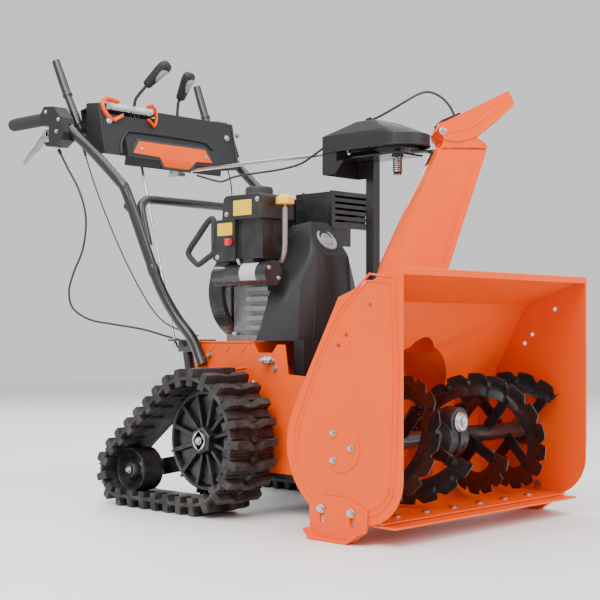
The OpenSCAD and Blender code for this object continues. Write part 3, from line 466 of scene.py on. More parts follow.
@dataclass
class SubAssembly:
    """A group of pieces of the machine that are built together."""

    pieces: list[str] = field(default_factory=list)

    def add(self, name: str, shape: Shape, finish: Finish, body: str = "machine",
            replaces: tuple[str, ...] = (), bevel: float = 0.0, sharp: float = 32.0) -> bpy.types.Object:
        """Makes a piece from a shape.

        Args:
            name: the piece's name.
            shape: its closed surface, as [across, back, height].
            finish: its finish.
            body: the body that it moves with, or "" to leave it on no body.
            replaces: the CAD nodes that it stands for.
            bevel: width of its rounded edges, or 0.
            sharp: the angle in degrees past which an edge stays sharp.

        Returns:
            The object.
        """
        mesh = bpy.data.meshes.new(name)
        mesh.from_pydata((shape.points + [0.0, FRONT_Y, 0.0]).tolist(), [], shape.faces)
        work = bmesh.new()
        work.from_mesh(mesh)
        bmesh.ops.remove_doubles(work, verts=work.verts, dist=1e-6)
        bmesh.ops.recalc_face_normals(work, faces=work.faces)
        work.to_mesh(mesh)
        work.free()
        return self._finish(name, mesh, finish, body, replaces, bevel, sharp)

    def refine(self, node: str, finish: Finish, bevel: float, body: str = "machine",
               sharp: float = 32.0) -> bpy.types.Object:
        """Makes a copy of a CAD node with merged points and rounded edges, and shows it in the node's place.

        Args:
            node: the CAD node.
            finish: the copy's finish.
            bevel: width of its rounded edges.
            body: the body that the node is in.
            sharp: the angle in degrees past which an edge stays sharp.

        Returns:
            The copy.
        """
        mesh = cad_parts[node].data.copy()
        mesh.materials.clear()
        work = bmesh.new()
        work.from_mesh(mesh)
        bmesh.ops.remove_doubles(work, verts=work.verts, dist=2e-6)
        bmesh.ops.dissolve_limit(work, angle_limit=math.radians(1.0), verts=work.verts, edges=work.edges)
        work.to_mesh(mesh)
        work.free()
        return self._finish(node + "_finished", mesh, finish, body, (node,), bevel, sharp)

    def dress(self, finish: Finish, *nodes: str) -> None:
        """Gives CAD nodes their finish and leaves their shape alone."""
        for node in nodes:
            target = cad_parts[node]
            target.data.materials.clear()
            target.data.materials.append(finish.material())
            self.pieces.append(node)

    def _finish(self, name: str, mesh: bpy.types.Mesh, finish: Finish, body: str, replaces: tuple[str, ...],
                bevel: float, sharp: float) -> bpy.types.Object:
        """Shades a mesh, gives it its finish and edges, and puts it on its body."""
        mesh.name = name
        mesh.shade_smooth()
        mesh.set_sharp_from_angle(angle=math.radians(sharp))
        mesh.materials.append(finish.material())
        piece = bpy.data.objects.new(name, mesh)
        bpy.context.scene.collection.objects.link(piece)
        if bevel > 0:
            edge = piece.modifiers.new("edges", "BEVEL")
            edge.width = bevel
            edge.segments = 2
            edge.limit_method = "ANGLE"
            edge.angle_limit = math.radians(sharp)
            edge.harden_normals = True
        if body:
            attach(piece, body)
        if replaces:
            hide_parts(*replaces)
        self.pieces.append(name)
        return piece


# ---------- intake ----------

@dataclass
class Intake(SubAssembly):
    """The orange housing with its side plates, drum, scraper and shoes."""

    plate_x: float = 0.3175
    height: float = 0.517
    auger_back: float = 0.150
    auger_z: float = 0.180
    barrel: float = 0.143

    def build(self) -> None:
        """Builds the housing and dresses it."""
        self.refine("auger_housing", ORANGE, 0.0012)
        self.refine("impeller_drum", ORANGE, 0.0010)
        self.refine("scraper_blade", ORANGE, 0.0010)
        for side in ("right", "left"):
            self.refine(f"side_plate_{side}", ORANGE, 0.0012)
            self.refine(f"skid_shoe_{side}", ORANGE, 0.0010, body=f"skid_{side}")
        self.add("side_plate_swages", self.swages(), ORANGE)
        self.add("top_lip_roll", self.lip(), ORANGE)
        self.add("bearing_bosses", self.bosses(), ORANGE)
        self.dress(ZINC, "auger_bearings")

    def outline(self, inset: float) -> Array:
        """Returns the side plate's border moved inwards, as [back, height] points from the top front corner."""
        angles = np.radians(np.linspace(36, -90, 16))
        barrel = self.barrel - inset
        round_part = np.column_stack([self.auger_back + barrel * np.cos(angles),
                                      self.auger_z + barrel * np.sin(angles)])
        corner_r = 0.09 - inset
        angles = np.radians(np.linspace(-90, -180, 8))
        corner = np.column_stack([0.09 + corner_r * np.cos(angles), 0.127 + corner_r * np.sin(angles)])
        top = np.array([[inset, self.height - inset], [0.157 - 0.3 * inset, 0.464 - inset],
                        [0.264 - inset, 0.270]])
        return np.vstack([top, round_part, corner])

    def swages(self) -> Shape:
        """Two pressed ridges that run round each side plate inside its border."""
        ridges = []
        for inset, radius in ((0.019, 0.0024), (0.030, 0.0018)):
            path = self.outline(inset)
            route = np.column_stack([np.full(len(path), -self.plate_x), path])
            ridges.append(sweep(route, radius, sides=10, steps=2, closed=True))
        return joined(ridges).paired()

    def lip(self) -> Shape:
        """The rolled edge along the top front of the housing, a tube of flattened section."""
        return sweep(np.array([[-0.313, 0.0045, 0.5115], [0.0, 0.0045, 0.5115], [0.313, 0.0045, 0.5115]]),
                     0.0044, sides=14, steps=2)

    def bosses(self) -> Shape:
        """Pressed three-lobed bosses round the auger bearings: radius 37 + 5 cos 3(a - pi) mm."""
        a = np.linspace(0, 2 * np.pi, 72, endpoint=False)
        lobed = 0.037 + 0.005 * np.cos(3 * (a - np.pi))
        rings = [(0.0, 1.12), (0.0022, 1.08), (0.0034, 1.0), (0.0034, 0.45)]
        points = np.stack([np.stack([np.full_like(a, -self.plate_x - out + 0.0005),
                                     self.auger_back + grow * lobed * np.cos(a),
                                     self.auger_z + grow * lobed * np.sin(a)], -1) for out, grow in rings])
        return grid(points, wrap_v=True, caps=True).paired()


@dataclass
class Augers(SubAssembly):
    """The serrated ribbon augers, their gearbox, and the impeller behind them."""

    radius: float = 0.130
    inner: float = 0.082
    back: float = 0.150
    height: float = 0.180
    first: float = 0.062
    last: float = 0.292
    teeth: int = 14

    def build(self) -> None:
        """Builds both augers and dresses the drive line."""
        auger = joined([self.ribbon(20.0), self.ribbon(200.0), self.tube()] + self.arms())
        self.add("auger_left_finished", auger, BLACK, "augers", ("auger_left",), bevel=0.0006)
        self.add("auger_right_finished", auger.mirrored(), BLACK, "augers", ("auger_right",), bevel=0.0006)
        self.add("gearbox_finished", self.gearbox(), BLACK_DUSTY, replaces=("auger_gearbox",), bevel=0.0010)
        self.add("gearbox_cap", self.cap(), ZINC, bevel=0.0006)
        self.refine("impeller", BLACK, 0.0010, "impeller")
        self.dress(ZINC, "auger_shaft", "impeller_shaft")

    def ribbon(self, start: float) -> Shape:
        """One ribbon: a sheet of 3.2 mm wound 300 degrees, with saw teeth on its edge and a pressed rib.

        S(u, v) = [x(u) + side + rib(v), q(u, v) cos a(u), q(u, v) sin a(u)] with q from the inner edge to
        R - 11 mm * tooth(u), where tooth is a steep saw wave.
        """
        steps = 14 * self.teeth
        u = np.linspace(0, 1, steps + 1)
        phase = (u * self.teeth) % 1.0
        outer = self.radius - 0.0004 - 0.011 * np.clip((phase - 0.62) * 4.5, 0, 1) * (phase < 0.97)
        inner = np.full_like(u, self.inner) + 0.012 * np.exp(-u * 22) + 0.012 * np.exp(-(1 - u) * 22)
        v = np.array([0.0, 0.25, 0.38, 0.5, 0.62, 0.75, 1.0])
        rib = 0.0022 * np.array([0.0, 0.0, 0.75, 1.0, 0.75, 0.0, 0.0])
        v_loop, rib_loop = np.concatenate([v, v[::-1]]), np.concatenate([rib, rib[::-1]])
        side = np.repeat([0.0016, -0.0016], len(v))
        a = np.radians(start + 300.0 * u)[:, None]
        q = inner[:, None] + (outer - inner)[:, None] * v_loop
        x = (self.first + (self.last - self.first) * u)[:, None] + side + rib_loop - 0.001
        points = np.stack([x, self.back + q * np.cos(a), self.height + q * np.sin(a)], -1)
        return grid(points, wrap_v=True, caps=True)

    def tube(self) -> Shape:
        """The auger's tube with a collar and a shear bolt's boss at its inner end."""
        profile = [(0, 0.0122), (0, 0.021), (0.024, 0.021), (0.026, 0.018), (0.246, 0.018), (0.246, 0.0122)]
        body = lathe(profile, (0.050, self.back, self.height), (1, 0, 0), 40, wrap=True)
        return body + bolts([(0.062, self.back, self.height + 0.0205)], (0, 0, 1), 0.0055)

    def arms(self) -> list[Shape]:
        """The flat arms between the tube and the ribbons, each with a folded tab at its tip."""
        shapes = []
        outline = rounded([(0.016, -0.012), (0.094, -0.009), (0.100, 0.0), (0.094, 0.013), (0.016, 0.012)],
                          0.005)
        for start in (20.0, 200.0):
            for part in (0.03, 0.36, 0.69, 0.97):
                arm = prism(outline, -0.0024, 0.0024, "X") + block((-0.002, 0.078, -0.013),
                                                                   (0.011, 0.081, 0.011))
                arm += bolts([(0.0024, 0.090, 0.0)], (1, 0, 0), 0.0045)
                x = self.first + (self.last - self.first) * part
                shapes.append(arm.turned(turn("X", start + 300 * part)).moved((x, self.back, self.height)))
        return shapes

    def gearbox(self) -> Shape:
        """The cast gearbox: a drum across the machine, hubs, and a neck back to the impeller."""
        drum = [(-0.046, 0.0125), (-0.046, 0.024), (-0.036, 0.026), (-0.033, 0.040), (-0.030, 0.045),
                (-0.006, 0.0465), (-0.005, 0.051), (0.005, 0.051), (0.006, 0.0465), (0.030, 0.045),
                (0.033, 0.040), (0.036, 0.026), (0.046, 0.024), (0.046, 0.0125)]
        neck = [(0.0, 0.012), (0.0, 0.030), (0.030, 0.032), (0.050, 0.026), (0.106, 0.024), (0.110, 0.027),
                (0.120, 0.027), (0.120, 0.012)]
        angles = np.radians(np.arange(20, 380, 60))
        flange = bolts([(0.005, self.back + 0.049 * np.cos(a), self.height + 0.049 * np.sin(a))
                        for a in angles], (1, 0, 0), 0.0042)
        return joined([lathe(drum, (0, self.back, self.height), (1, 0, 0), 56, wrap=True),
                       lathe(neck, (0, 0.106, 0.213), (0, 1, 0), 40, wrap=True), flange])

    def cap(self) -> Shape:
        """The plated cap on the gearbox's nose: a shallow dome with a rim and a raised middle."""
        profile = [(0.010, 0.0), (0.010, 0.0215), (0.006, 0.0215), (0.004, 0.019), (0.0015, 0.018),
                   (0.0, 0.012), (0.0015, 0.009), (0.0015, 0.0)]
        return lathe(profile, (0, 0.096, 0.213), (0, 1, 0), 40)


# ---------- chute ----------

@dataclass
class Chute(SubAssembly):
    """The chute, its deflector, the post behind it, and the rod and cable that work them."""

    axis_back: float = 0.270
    rest_turn: float = 45.0
    half_width: float = 0.062
    ring_z: float = 0.424
    levels: tuple[tuple[float, float, float, float], ...] = ((0.440, -0.066, -0.030, 0.066),
                                                             (0.545, -0.036, 0.002, 0.102),
                                                             (0.665, 0.018, 0.033, 0.141),
                                                             (0.785, 0.076, 0.082, 0.180))

    def build(self) -> None:
        """Builds the sheet metal and the controls in front of the engine."""
        self.add("chute_sheet", self.sheet(), ORANGE, "chute", ("chute",), bevel=0.0008)
        self.add("chute_ring", self.ring(), ORANGE, "chute", bevel=0.0008)
        self.add("chute_flanges", self.flanges(), ORANGE, "chute", bevel=0.0006)
        self.refine("deflector", ORANGE, 0.0010, "deflector")
        self.add("deflector_ribs", self.deflector_ribs(), ORANGE, "deflector")
        self.add("deflector_bracket", self.bracket(), BLACK, "deflector", bevel=0.0008)
        self.add("deflector_hinge_bolts", self.hinge_bolts(), ZINC, "chute")
        self.refine("chute_arm", BLACK_DUSTY, 0.0006, "chute")
        self.refine("chute_post", BLACK, 0.0012)
        self.refine("gear_cover", DARK_PLASTIC, 0.0045)
        self.add("gear_cover_ribs", self.cover_ribs(), DARK_PLASTIC, bevel=0.0008)
        self.add("detent_spring", self.spring(), ZINC)
        self.dress(ZINC, "chute_rod")
        cable = self.add("deflector_cable_sheath", sweep(self.cable_route(), 0.0026, 12, 8), BLACK_PLASTIC,
                         "", ("deflector_cable",))
        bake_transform(cable)
        self.add("cable_clip", self.clip(), DARK_PLASTIC, bevel=0.0008)

    @staticmethod
    def frame_point(x: float, back: float, z: float) -> tuple[float, float, float]:
        """Returns a point in the frame's own axes."""
        return (x, back + FRONT_Y, z)

    def aimed(self, shape: Shape) -> Shape:
        """Turns a shape drawn as [lateral, out, height] to the way that the chute points at rest."""
        return shape.turned(turn("Z", self.rest_turn + 180.0)).moved((0.0, self.axis_back, 0.0))

    def level(self, height: Array) -> Array:
        """Returns back, fold and front at each height, straight between the chute's levels."""
        table = np.array(self.levels)
        return np.stack([np.interp(height, table[:, 0], table[:, k]) for k in (1, 2, 3)], -1)

    def sheet(self) -> Shape:
        """The chute's sheet of 2.5 mm: a U whose corners are folded along a tapering strip.

        S(u, v) walks round the U at height u: side, fold, back, fold, side; the loop comes back 2.5 mm inside.
        """
        height = np.concatenate([[row[0] for row in self.levels], np.linspace(0.46, 0.78, 17)])
        height = np.unique(height)
        back, fold, front = self.level(height).T
        w, t = self.half_width, 0.0025
        outer = [(-w, front), (-w, (front + fold) / 2), (-w, fold + 0.004),
                 (-w * 0.94, fold * 0.9 + back * 0.1), (-w * 0.55, fold * 0.08 + back * 0.92),
                 (-w * 0.42, back), (0, back), (w * 0.42, back), (w * 0.55, fold * 0.08 + back * 0.92),
                 (w * 0.94, fold * 0.9 + back * 0.1), (w, fold + 0.004), (w, (front + fold) / 2), (w, front)]
        lateral = np.stack([np.broadcast_to(p[0], height.shape) for p in outer], -1)
        out = np.stack([p[1] for p in outer], -1)
        shrink = (w - t) / w
        inner_out = out[:, ::-1] + t * np.cos(np.pi / 2 * np.abs(lateral[:, ::-1]) / w)
        loop_x = np.concatenate([lateral, lateral[:, ::-1] * shrink], 1)
        loop_y = np.concatenate([out, inner_out], 1)
        loop_z = np.broadcast_to(height[:, None], loop_x.shape)
        return self.aimed(grid(np.stack([loop_x, loop_y, loop_z], -1), wrap_v=True, caps=True))

    def flanges(self) -> Shape:
        """The folded flange down each front edge of the chute, and the two raised lines beside it."""
        table = np.array(self.levels)
        route = np.column_stack([np.full(4, -self.half_width + 0.0031), table[:, 3], table[:, 0]])
        height = np.array([0.545, 0.650, 0.752])
        shapes = [sweep(route, 0.0034, 10, 4)]
        for inset in (0.012, 0.018):
            line = np.column_stack([np.full(3, -self.half_width), self.level(height)[:, 2] - inset, height])
            shapes.append(sweep(line, 0.0013, 8, 4))
        one = joined(shapes)
        top = np.array([[-self.half_width + 0.0020, 0.182, 0.786], [-self.half_width + 0.0020, 0.157, 0.8055],
                        [-self.half_width + 0.0020, 0.096, 0.811]])
        wall = prism(np.array([[0.083, 0.779], [0.178, 0.779], [0.179, 0.787], [0.157, 0.806],
                               [0.094, 0.811]]), -self.half_width, -self.half_width + 0.0025, "X")
        return self.aimed(joined([one, one.mirrored(), wall, wall.mirrored(),
                                  sweep(top, 0.002, 8, 2).paired()]))

    def ring(self) -> Shape:
        """The flat ring and the collar that turn on the drum's ring."""
        z = self.ring_z + 0.0004
        flat = lathe([(0, 0.072), (0, 0.092), (0.003, 0.092), (0.003, 0.072)], (0, self.axis_back, z),
                     (0, 0, 1), 72, True)
        collar = lathe([(0.003, 0.072), (0.003, 0.075), (0.026, 0.075), (0.026, 0.072)],
                       (0, self.axis_back, z), (0, 0, 1), 72, True)
        a = np.radians(np.arange(0, 360, 60))
        ring_bolts = bolts([(0.0835 * math.cos(k), self.axis_back + 0.0835 * math.sin(k), z + 0.003)
                            for k in a], (0, 0, 1), 0.0048)
        return joined([flat, collar, ring_bolts])

    def deflector_ribs(self) -> Shape:
        """Pressed ribs along the deflector's top and sides."""
        w = self.half_width + 0.0031
        side = sweep(np.array([[-w, 0.104, 0.816], [-w, 0.150, 0.829], [-w, 0.205, 0.870]]), 0.0018, 8, 4)
        edge = sweep(np.array([[-w, 0.158, 0.8085], [-w, 0.207, 0.8485], [-w, 0.231, 0.869],
                               [-w, 0.2365, 0.880]]), 0.0022, 8, 3)
        return self.aimed((side + edge).paired())

    def bracket(self) -> Shape:
        """The black bracket that the deflector's cable pulls, behind its hinge."""
        outline = rounded([(0.082, 0.8345), (0.096, 0.8425), (0.134, 0.861), (0.131, 0.866), (0.092, 0.8495),
                           (0.080, 0.8405)], 0.003)
        arm = prism(outline, -0.019, -0.0165, "X")
        pin = lathe([(-0.021, 0), (-0.021, 0.0032), (0.021, 0.0032), (0.021, 0)], (0, 0.0885, 0.8425),
                    (1, 0, 0), 20)
        return self.aimed(joined([arm, arm.mirrored(), pin]))

    def hinge_bolts(self) -> Shape:
        """The hinge's two bolts."""
        one = bolts([(-self.half_width - 0.0028, 0.088, 0.818)], (-1, 0, 0), 0.0058)
        return self.aimed(one.paired())

    def cover_ribs(self) -> Shape:
        """Raised edges on the gear cover."""
        lip = [sweep(np.array([[-0.0585, 0.300, 0.792], [-0.0585, 0.380, 0.792], [-0.0585, 0.434, 0.790]]),
                     0.0022, 8, 3), sweep(np.array([[-0.030, 0.310, 0.8525], [0.0, 0.310, 0.8525],
                                                    [0.030, 0.310, 0.8525]]), 0.0016, 8, 3)]
        a = np.radians(np.linspace(-20, 200, 16))
        nose = np.column_stack([0.0578 * np.cos(a), 0.256 - 0.0578 * np.sin(a), np.full_like(a, 0.7925)])
        return joined(lip + [sweep(nose, 0.0021, 8, 2)])

    def spring(self) -> Shape:
        """The detent spring: a helix of 1.5 mm wire, 8.6 mm in radius and 7 turns high."""
        t = np.linspace(0, 7, 7 * 14 + 1)
        a = 2 * np.pi * t
        route = np.column_stack([0.0092 * np.cos(a), self.axis_back + 0.0092 * np.sin(a),
                                 0.7395 + 0.0046 * t])
        return sweep(route, 0.0016, 8, 1)

    @staticmethod
    def cable_route() -> Array:
        """The deflector cable's own route, its points chosen as in the CAD."""
        return np.array([[0.070, 0.990, 0.800], [0.066, 0.960, 0.792], [0.058, 0.888, 0.775],
                         [0.054, 0.834, 0.782], [0.050, 0.740, 0.784], [0.048, 0.672, 0.785],
                         [0.028, 0.588, 0.788], [0.018, 0.535, 0.802], [0.014, 0.452, 0.837],
                         [0.004, 0.388, 0.856], [-0.002, 0.326, 0.863], [0.007, 0.264, 0.887],
                         [0.030, 0.240, 0.906], [0.047, 0.223, 0.912], [0.065, 0.205, 0.902],
                         [0.079, 0.191, 0.882], [0.086, 0.184, 0.862]])

    def clip(self) -> Shape:
        """The clip on the gear cover that holds the cable, and its screw."""
        ring = lathe([(-0.005, 0.0032), (-0.005, 0.0062), (0.005, 0.0062), (0.005, 0.0032)],
                     (0.0, 0.350, 0.8605), unit(np.array([0.1, 1.0, -0.1])), 24, wrap=True)
        return ring + block((-0.004, 0.343, 0.850), (0.004, 0.357, 0.857))


# ---------- handlebars and dash ----------

@dataclass
class Handlebars(SubAssembly):
    """The tubes, grips, clutch levers, trigger and cables."""

    tube_r: float = 0.0125
    grip_x: float = 0.270
    grip_z: float = 0.925
    clutch_at: tuple[float, float] = (1.090, 0.893)

    def build(self) -> None:
        """Builds the handlebars and what is clamped to them."""
        self.add("handle_tubes", self.tubes(), BLACK, replaces=("handlebars",))
        self.add("handle_sleeves", self.sleeves(), BLACK, bevel=0.0005)
        self.add("cross_hoop", self.hoop(), BLACK, replaces=("handle_hoop",))
        self.add("hand_grips", self.hand_grips(), RUBBER, replaces=("grips",))
        self.refine("lever_mounts", DARK_PLASTIC, 0.0035)
        self.add("mount_screws", self.screws(), ZINC, bevel=0.0003)
        lever = self.clutch_lever()
        self.add("clutch_lever_right_bar", lever, BLACK, "clutch_right", ("clutch_lever_right",),
                 bevel=0.0008)
        self.add("clutch_lever_left_bar", lever.mirrored(), BLACK, "clutch_left", ("clutch_lever_left",),
                 bevel=0.0008)
        self.add("tilt_trigger", self.trigger(), CAST, "lock_trigger", ("lock_trigger",), bevel=0.0008)
        self.add("cable_sheaths", self.cables(), BLACK_PLASTIC, replaces=("control_cables",))

    def tubes(self) -> Shape:
        """The two handle tubes, one round section carried along a bent path."""
        path = np.array([[-0.163, 0.712, 0.322], [-0.1635, 0.728, 0.354], [-0.168, 0.746, 0.386],
                         [-0.180, 0.781, 0.430], [-0.195, 0.815, 0.490], [-0.208, 0.842, 0.560],
                         [-0.226, 0.873, 0.660], [-0.238, 0.896, 0.728], [-0.243, 0.915, 0.753],
                         [-0.249, 1.019, 0.838], [-0.262, 1.080, 0.888], [-0.268, 1.118, 0.912],
                         [-0.270, 1.150, 0.925], [-0.270, 1.160, 0.925], [-0.270, 1.300, 0.925]])
        return sweep(path, self.tube_r, 28, 6).paired()

    def sleeves(self) -> Shape:
        """The flared joint where each upper tube slips over the lower one, and a knob."""
        route = np.array([[-0.2025, 0.8315, 0.530], [-0.205, 0.8365, 0.545], [-0.2065, 0.8395, 0.553]])
        sleeve = sweep(route, np.array([0.0142, 0.0142, 0.0134]), 28, 2)
        knob_profile = [(0, 0.0), (0, 0.007), (0.006, 0.007), (0.007, 0.012), (0.015, 0.013), (0.018, 0.010),
                        (0.018, 0.0)]
        knob = lathe(knob_profile, (-0.220, 0.892, 0.692), (1, -0.1, 0), 10)
        return (sleeve + knob.moved((-0.024, 0.0, 0.0))).paired()

    @staticmethod
    def hoop() -> Shape:
        """The hoop between the handle tubes."""
        half = np.array([[-0.190, 0.872, 0.600], [-0.194, 0.890, 0.672], [-0.190, 0.897, 0.698],
                         [-0.174, 0.901, 0.711], [-0.150, 0.902, 0.714], [-0.060, 0.902, 0.714]])
        return sweep(np.vstack([half, half[::-1] * [-1, 1, 1]]), 0.011, 26, 6)

    def hand_grips(self) -> Shape:
        """Foam grips with a flange in front and a rounded end."""
        profile = [(0, 0.0128), (0, 0.0168), (0.001, 0.0178), (0.004, 0.0178), (0.006, 0.0165),
                   (0.010, 0.0158), (0.060, 0.0160), (0.120, 0.0160), (0.140, 0.0157), (0.148, 0.0145),
                   (0.152, 0.0118), (0.154, 0.007), (0.154, 0.0)]
        return lathe(profile, (-self.grip_x, 1.166, self.grip_z), (0, 1, 0), 40).paired()

    @staticmethod
    def screws() -> Shape:
        """The screws that clamp the lever housings, and the pivot pins of the clutch levers and the trigger."""
        heads = bolts([(-0.292, 1.096, 0.884), (-0.292, 1.140, 0.936), (-0.292, 1.088, 0.912)], (-1, 0, 0),
                      0.004)
        pivot = lathe([(0, 0.0), (0, 0.006), (0.038, 0.006), (0.039, 0.005), (0.039, 0.0)],
                      (-0.249, 1.090, 0.893), (1, 0, 0), 24)
        pin = lathe([(0, 0.0), (0, 0.0038), (0.021, 0.0038), (0.021, 0.0)], (-0.2845, 1.156, 0.886),
                    (1, 0, 0), 20)
        return (heads + pivot).paired() + pin + bolts([(-0.2845, 1.156, 0.886)], (-1, 0, 0), 0.0055)

    def clutch_lever(self) -> Shape:
        """A clutch lever: a boss on its pin, a thin lower bar, a collar and a thicker upper bar cut off flat."""
        y, z = self.clutch_at
        boss = lathe([(0, 0.0062), (0, 0.016), (0.001, 0.017), (0.023, 0.017), (0.024, 0.016),
                      (0.024, 0.0062)], (-0.238, y, z), (1, 0, 0), 40, wrap=True)
        route = np.array([[-0.226, y + 0.007, z + 0.014], [-0.2266, 1.106, 0.926], [-0.2282, 1.120, 0.954],
                          [-0.2298, 1.132, 0.978], [-0.2300, 1.1335, 0.981], [-0.2303, 1.1365, 0.987],
                          [-0.2306, 1.139, 0.992], [-0.233, 1.158, 1.033], [-0.2355, 1.1765, 1.074]])
        radii = np.array([0.0100, 0.0104, 0.0104, 0.0104, 0.0126, 0.0128, 0.0114, 0.0114, 0.0106])
        return boss + sweep(route, radii, 24, 4)

    @staticmethod
    def trigger() -> Shape:
        """The alloy trigger: a flat curved finger that thins towards a rolled tip, on a boss."""
        route = np.array([[-0.274, 1.156, 0.884], [-0.274, 1.178, 0.874], [-0.274, 1.203, 0.856],
                          [-0.274, 1.228, 0.843], [-0.274, 1.248, 0.829], [-0.274, 1.258, 0.822]])
        finger = sweep(route, np.array([0.0098, 0.0092, 0.0076, 0.0060, 0.0050, 0.0046]), 18, 6, flat=0.92)
        boss = lathe([(0, 0.0042), (0, 0.0100), (0.012, 0.0100), (0.012, 0.0042)], (-0.280, 1.156, 0.886),
                     (1, 0, 0), 32, wrap=True)
        return finger + boss

    @staticmethod
    def cables() -> Shape:
        """The lock cable and the two clutch cables, with their end sleeves."""
        lock = np.array([[-0.262, 1.128, 0.845], [-0.262, 1.094, 0.800], [-0.258, 1.050, 0.738],
                         [-0.252, 1.032, 0.672], [-0.250, 1.046, 0.600], [-0.250, 1.085, 0.540],
                         [-0.246, 1.108, 0.496], [-0.236, 1.106, 0.456], [-0.216, 1.066, 0.428],
                         [-0.186, 1.010, 0.416], [-0.150, 0.944, 0.404], [-0.120, 0.884, 0.386],
                         [-0.102, 0.858, 0.378]])
        drive = np.array([[-0.240, 1.062, 0.852], [-0.228, 1.010, 0.720], [-0.208, 0.930, 0.560],
                          [-0.186, 0.850, 0.440], [-0.160, 0.790, 0.400], [-0.128, 0.764, 0.388]])
        auger = np.array([[0.240, 1.062, 0.852], [0.226, 1.026, 0.770], [0.150, 0.960, 0.640],
                          [0.110, 0.860, 0.470], [0.080, 0.790, 0.400], [0.070, 0.766, 0.388]])
        sleeves = [sweep(np.linspace(route[0], route[0] * 0.8 + route[1] * 0.2, 3), radius, 12, 2) for route,
                   radius in ((lock, 0.0044), (drive, 0.0032), (auger, 0.0032))]
        return joined([sweep(lock, 0.0026, 12, 8), sweep(drive, 0.0017, 10, 8),
                       sweep(auger, 0.0017, 10, 8)] + sleeves)


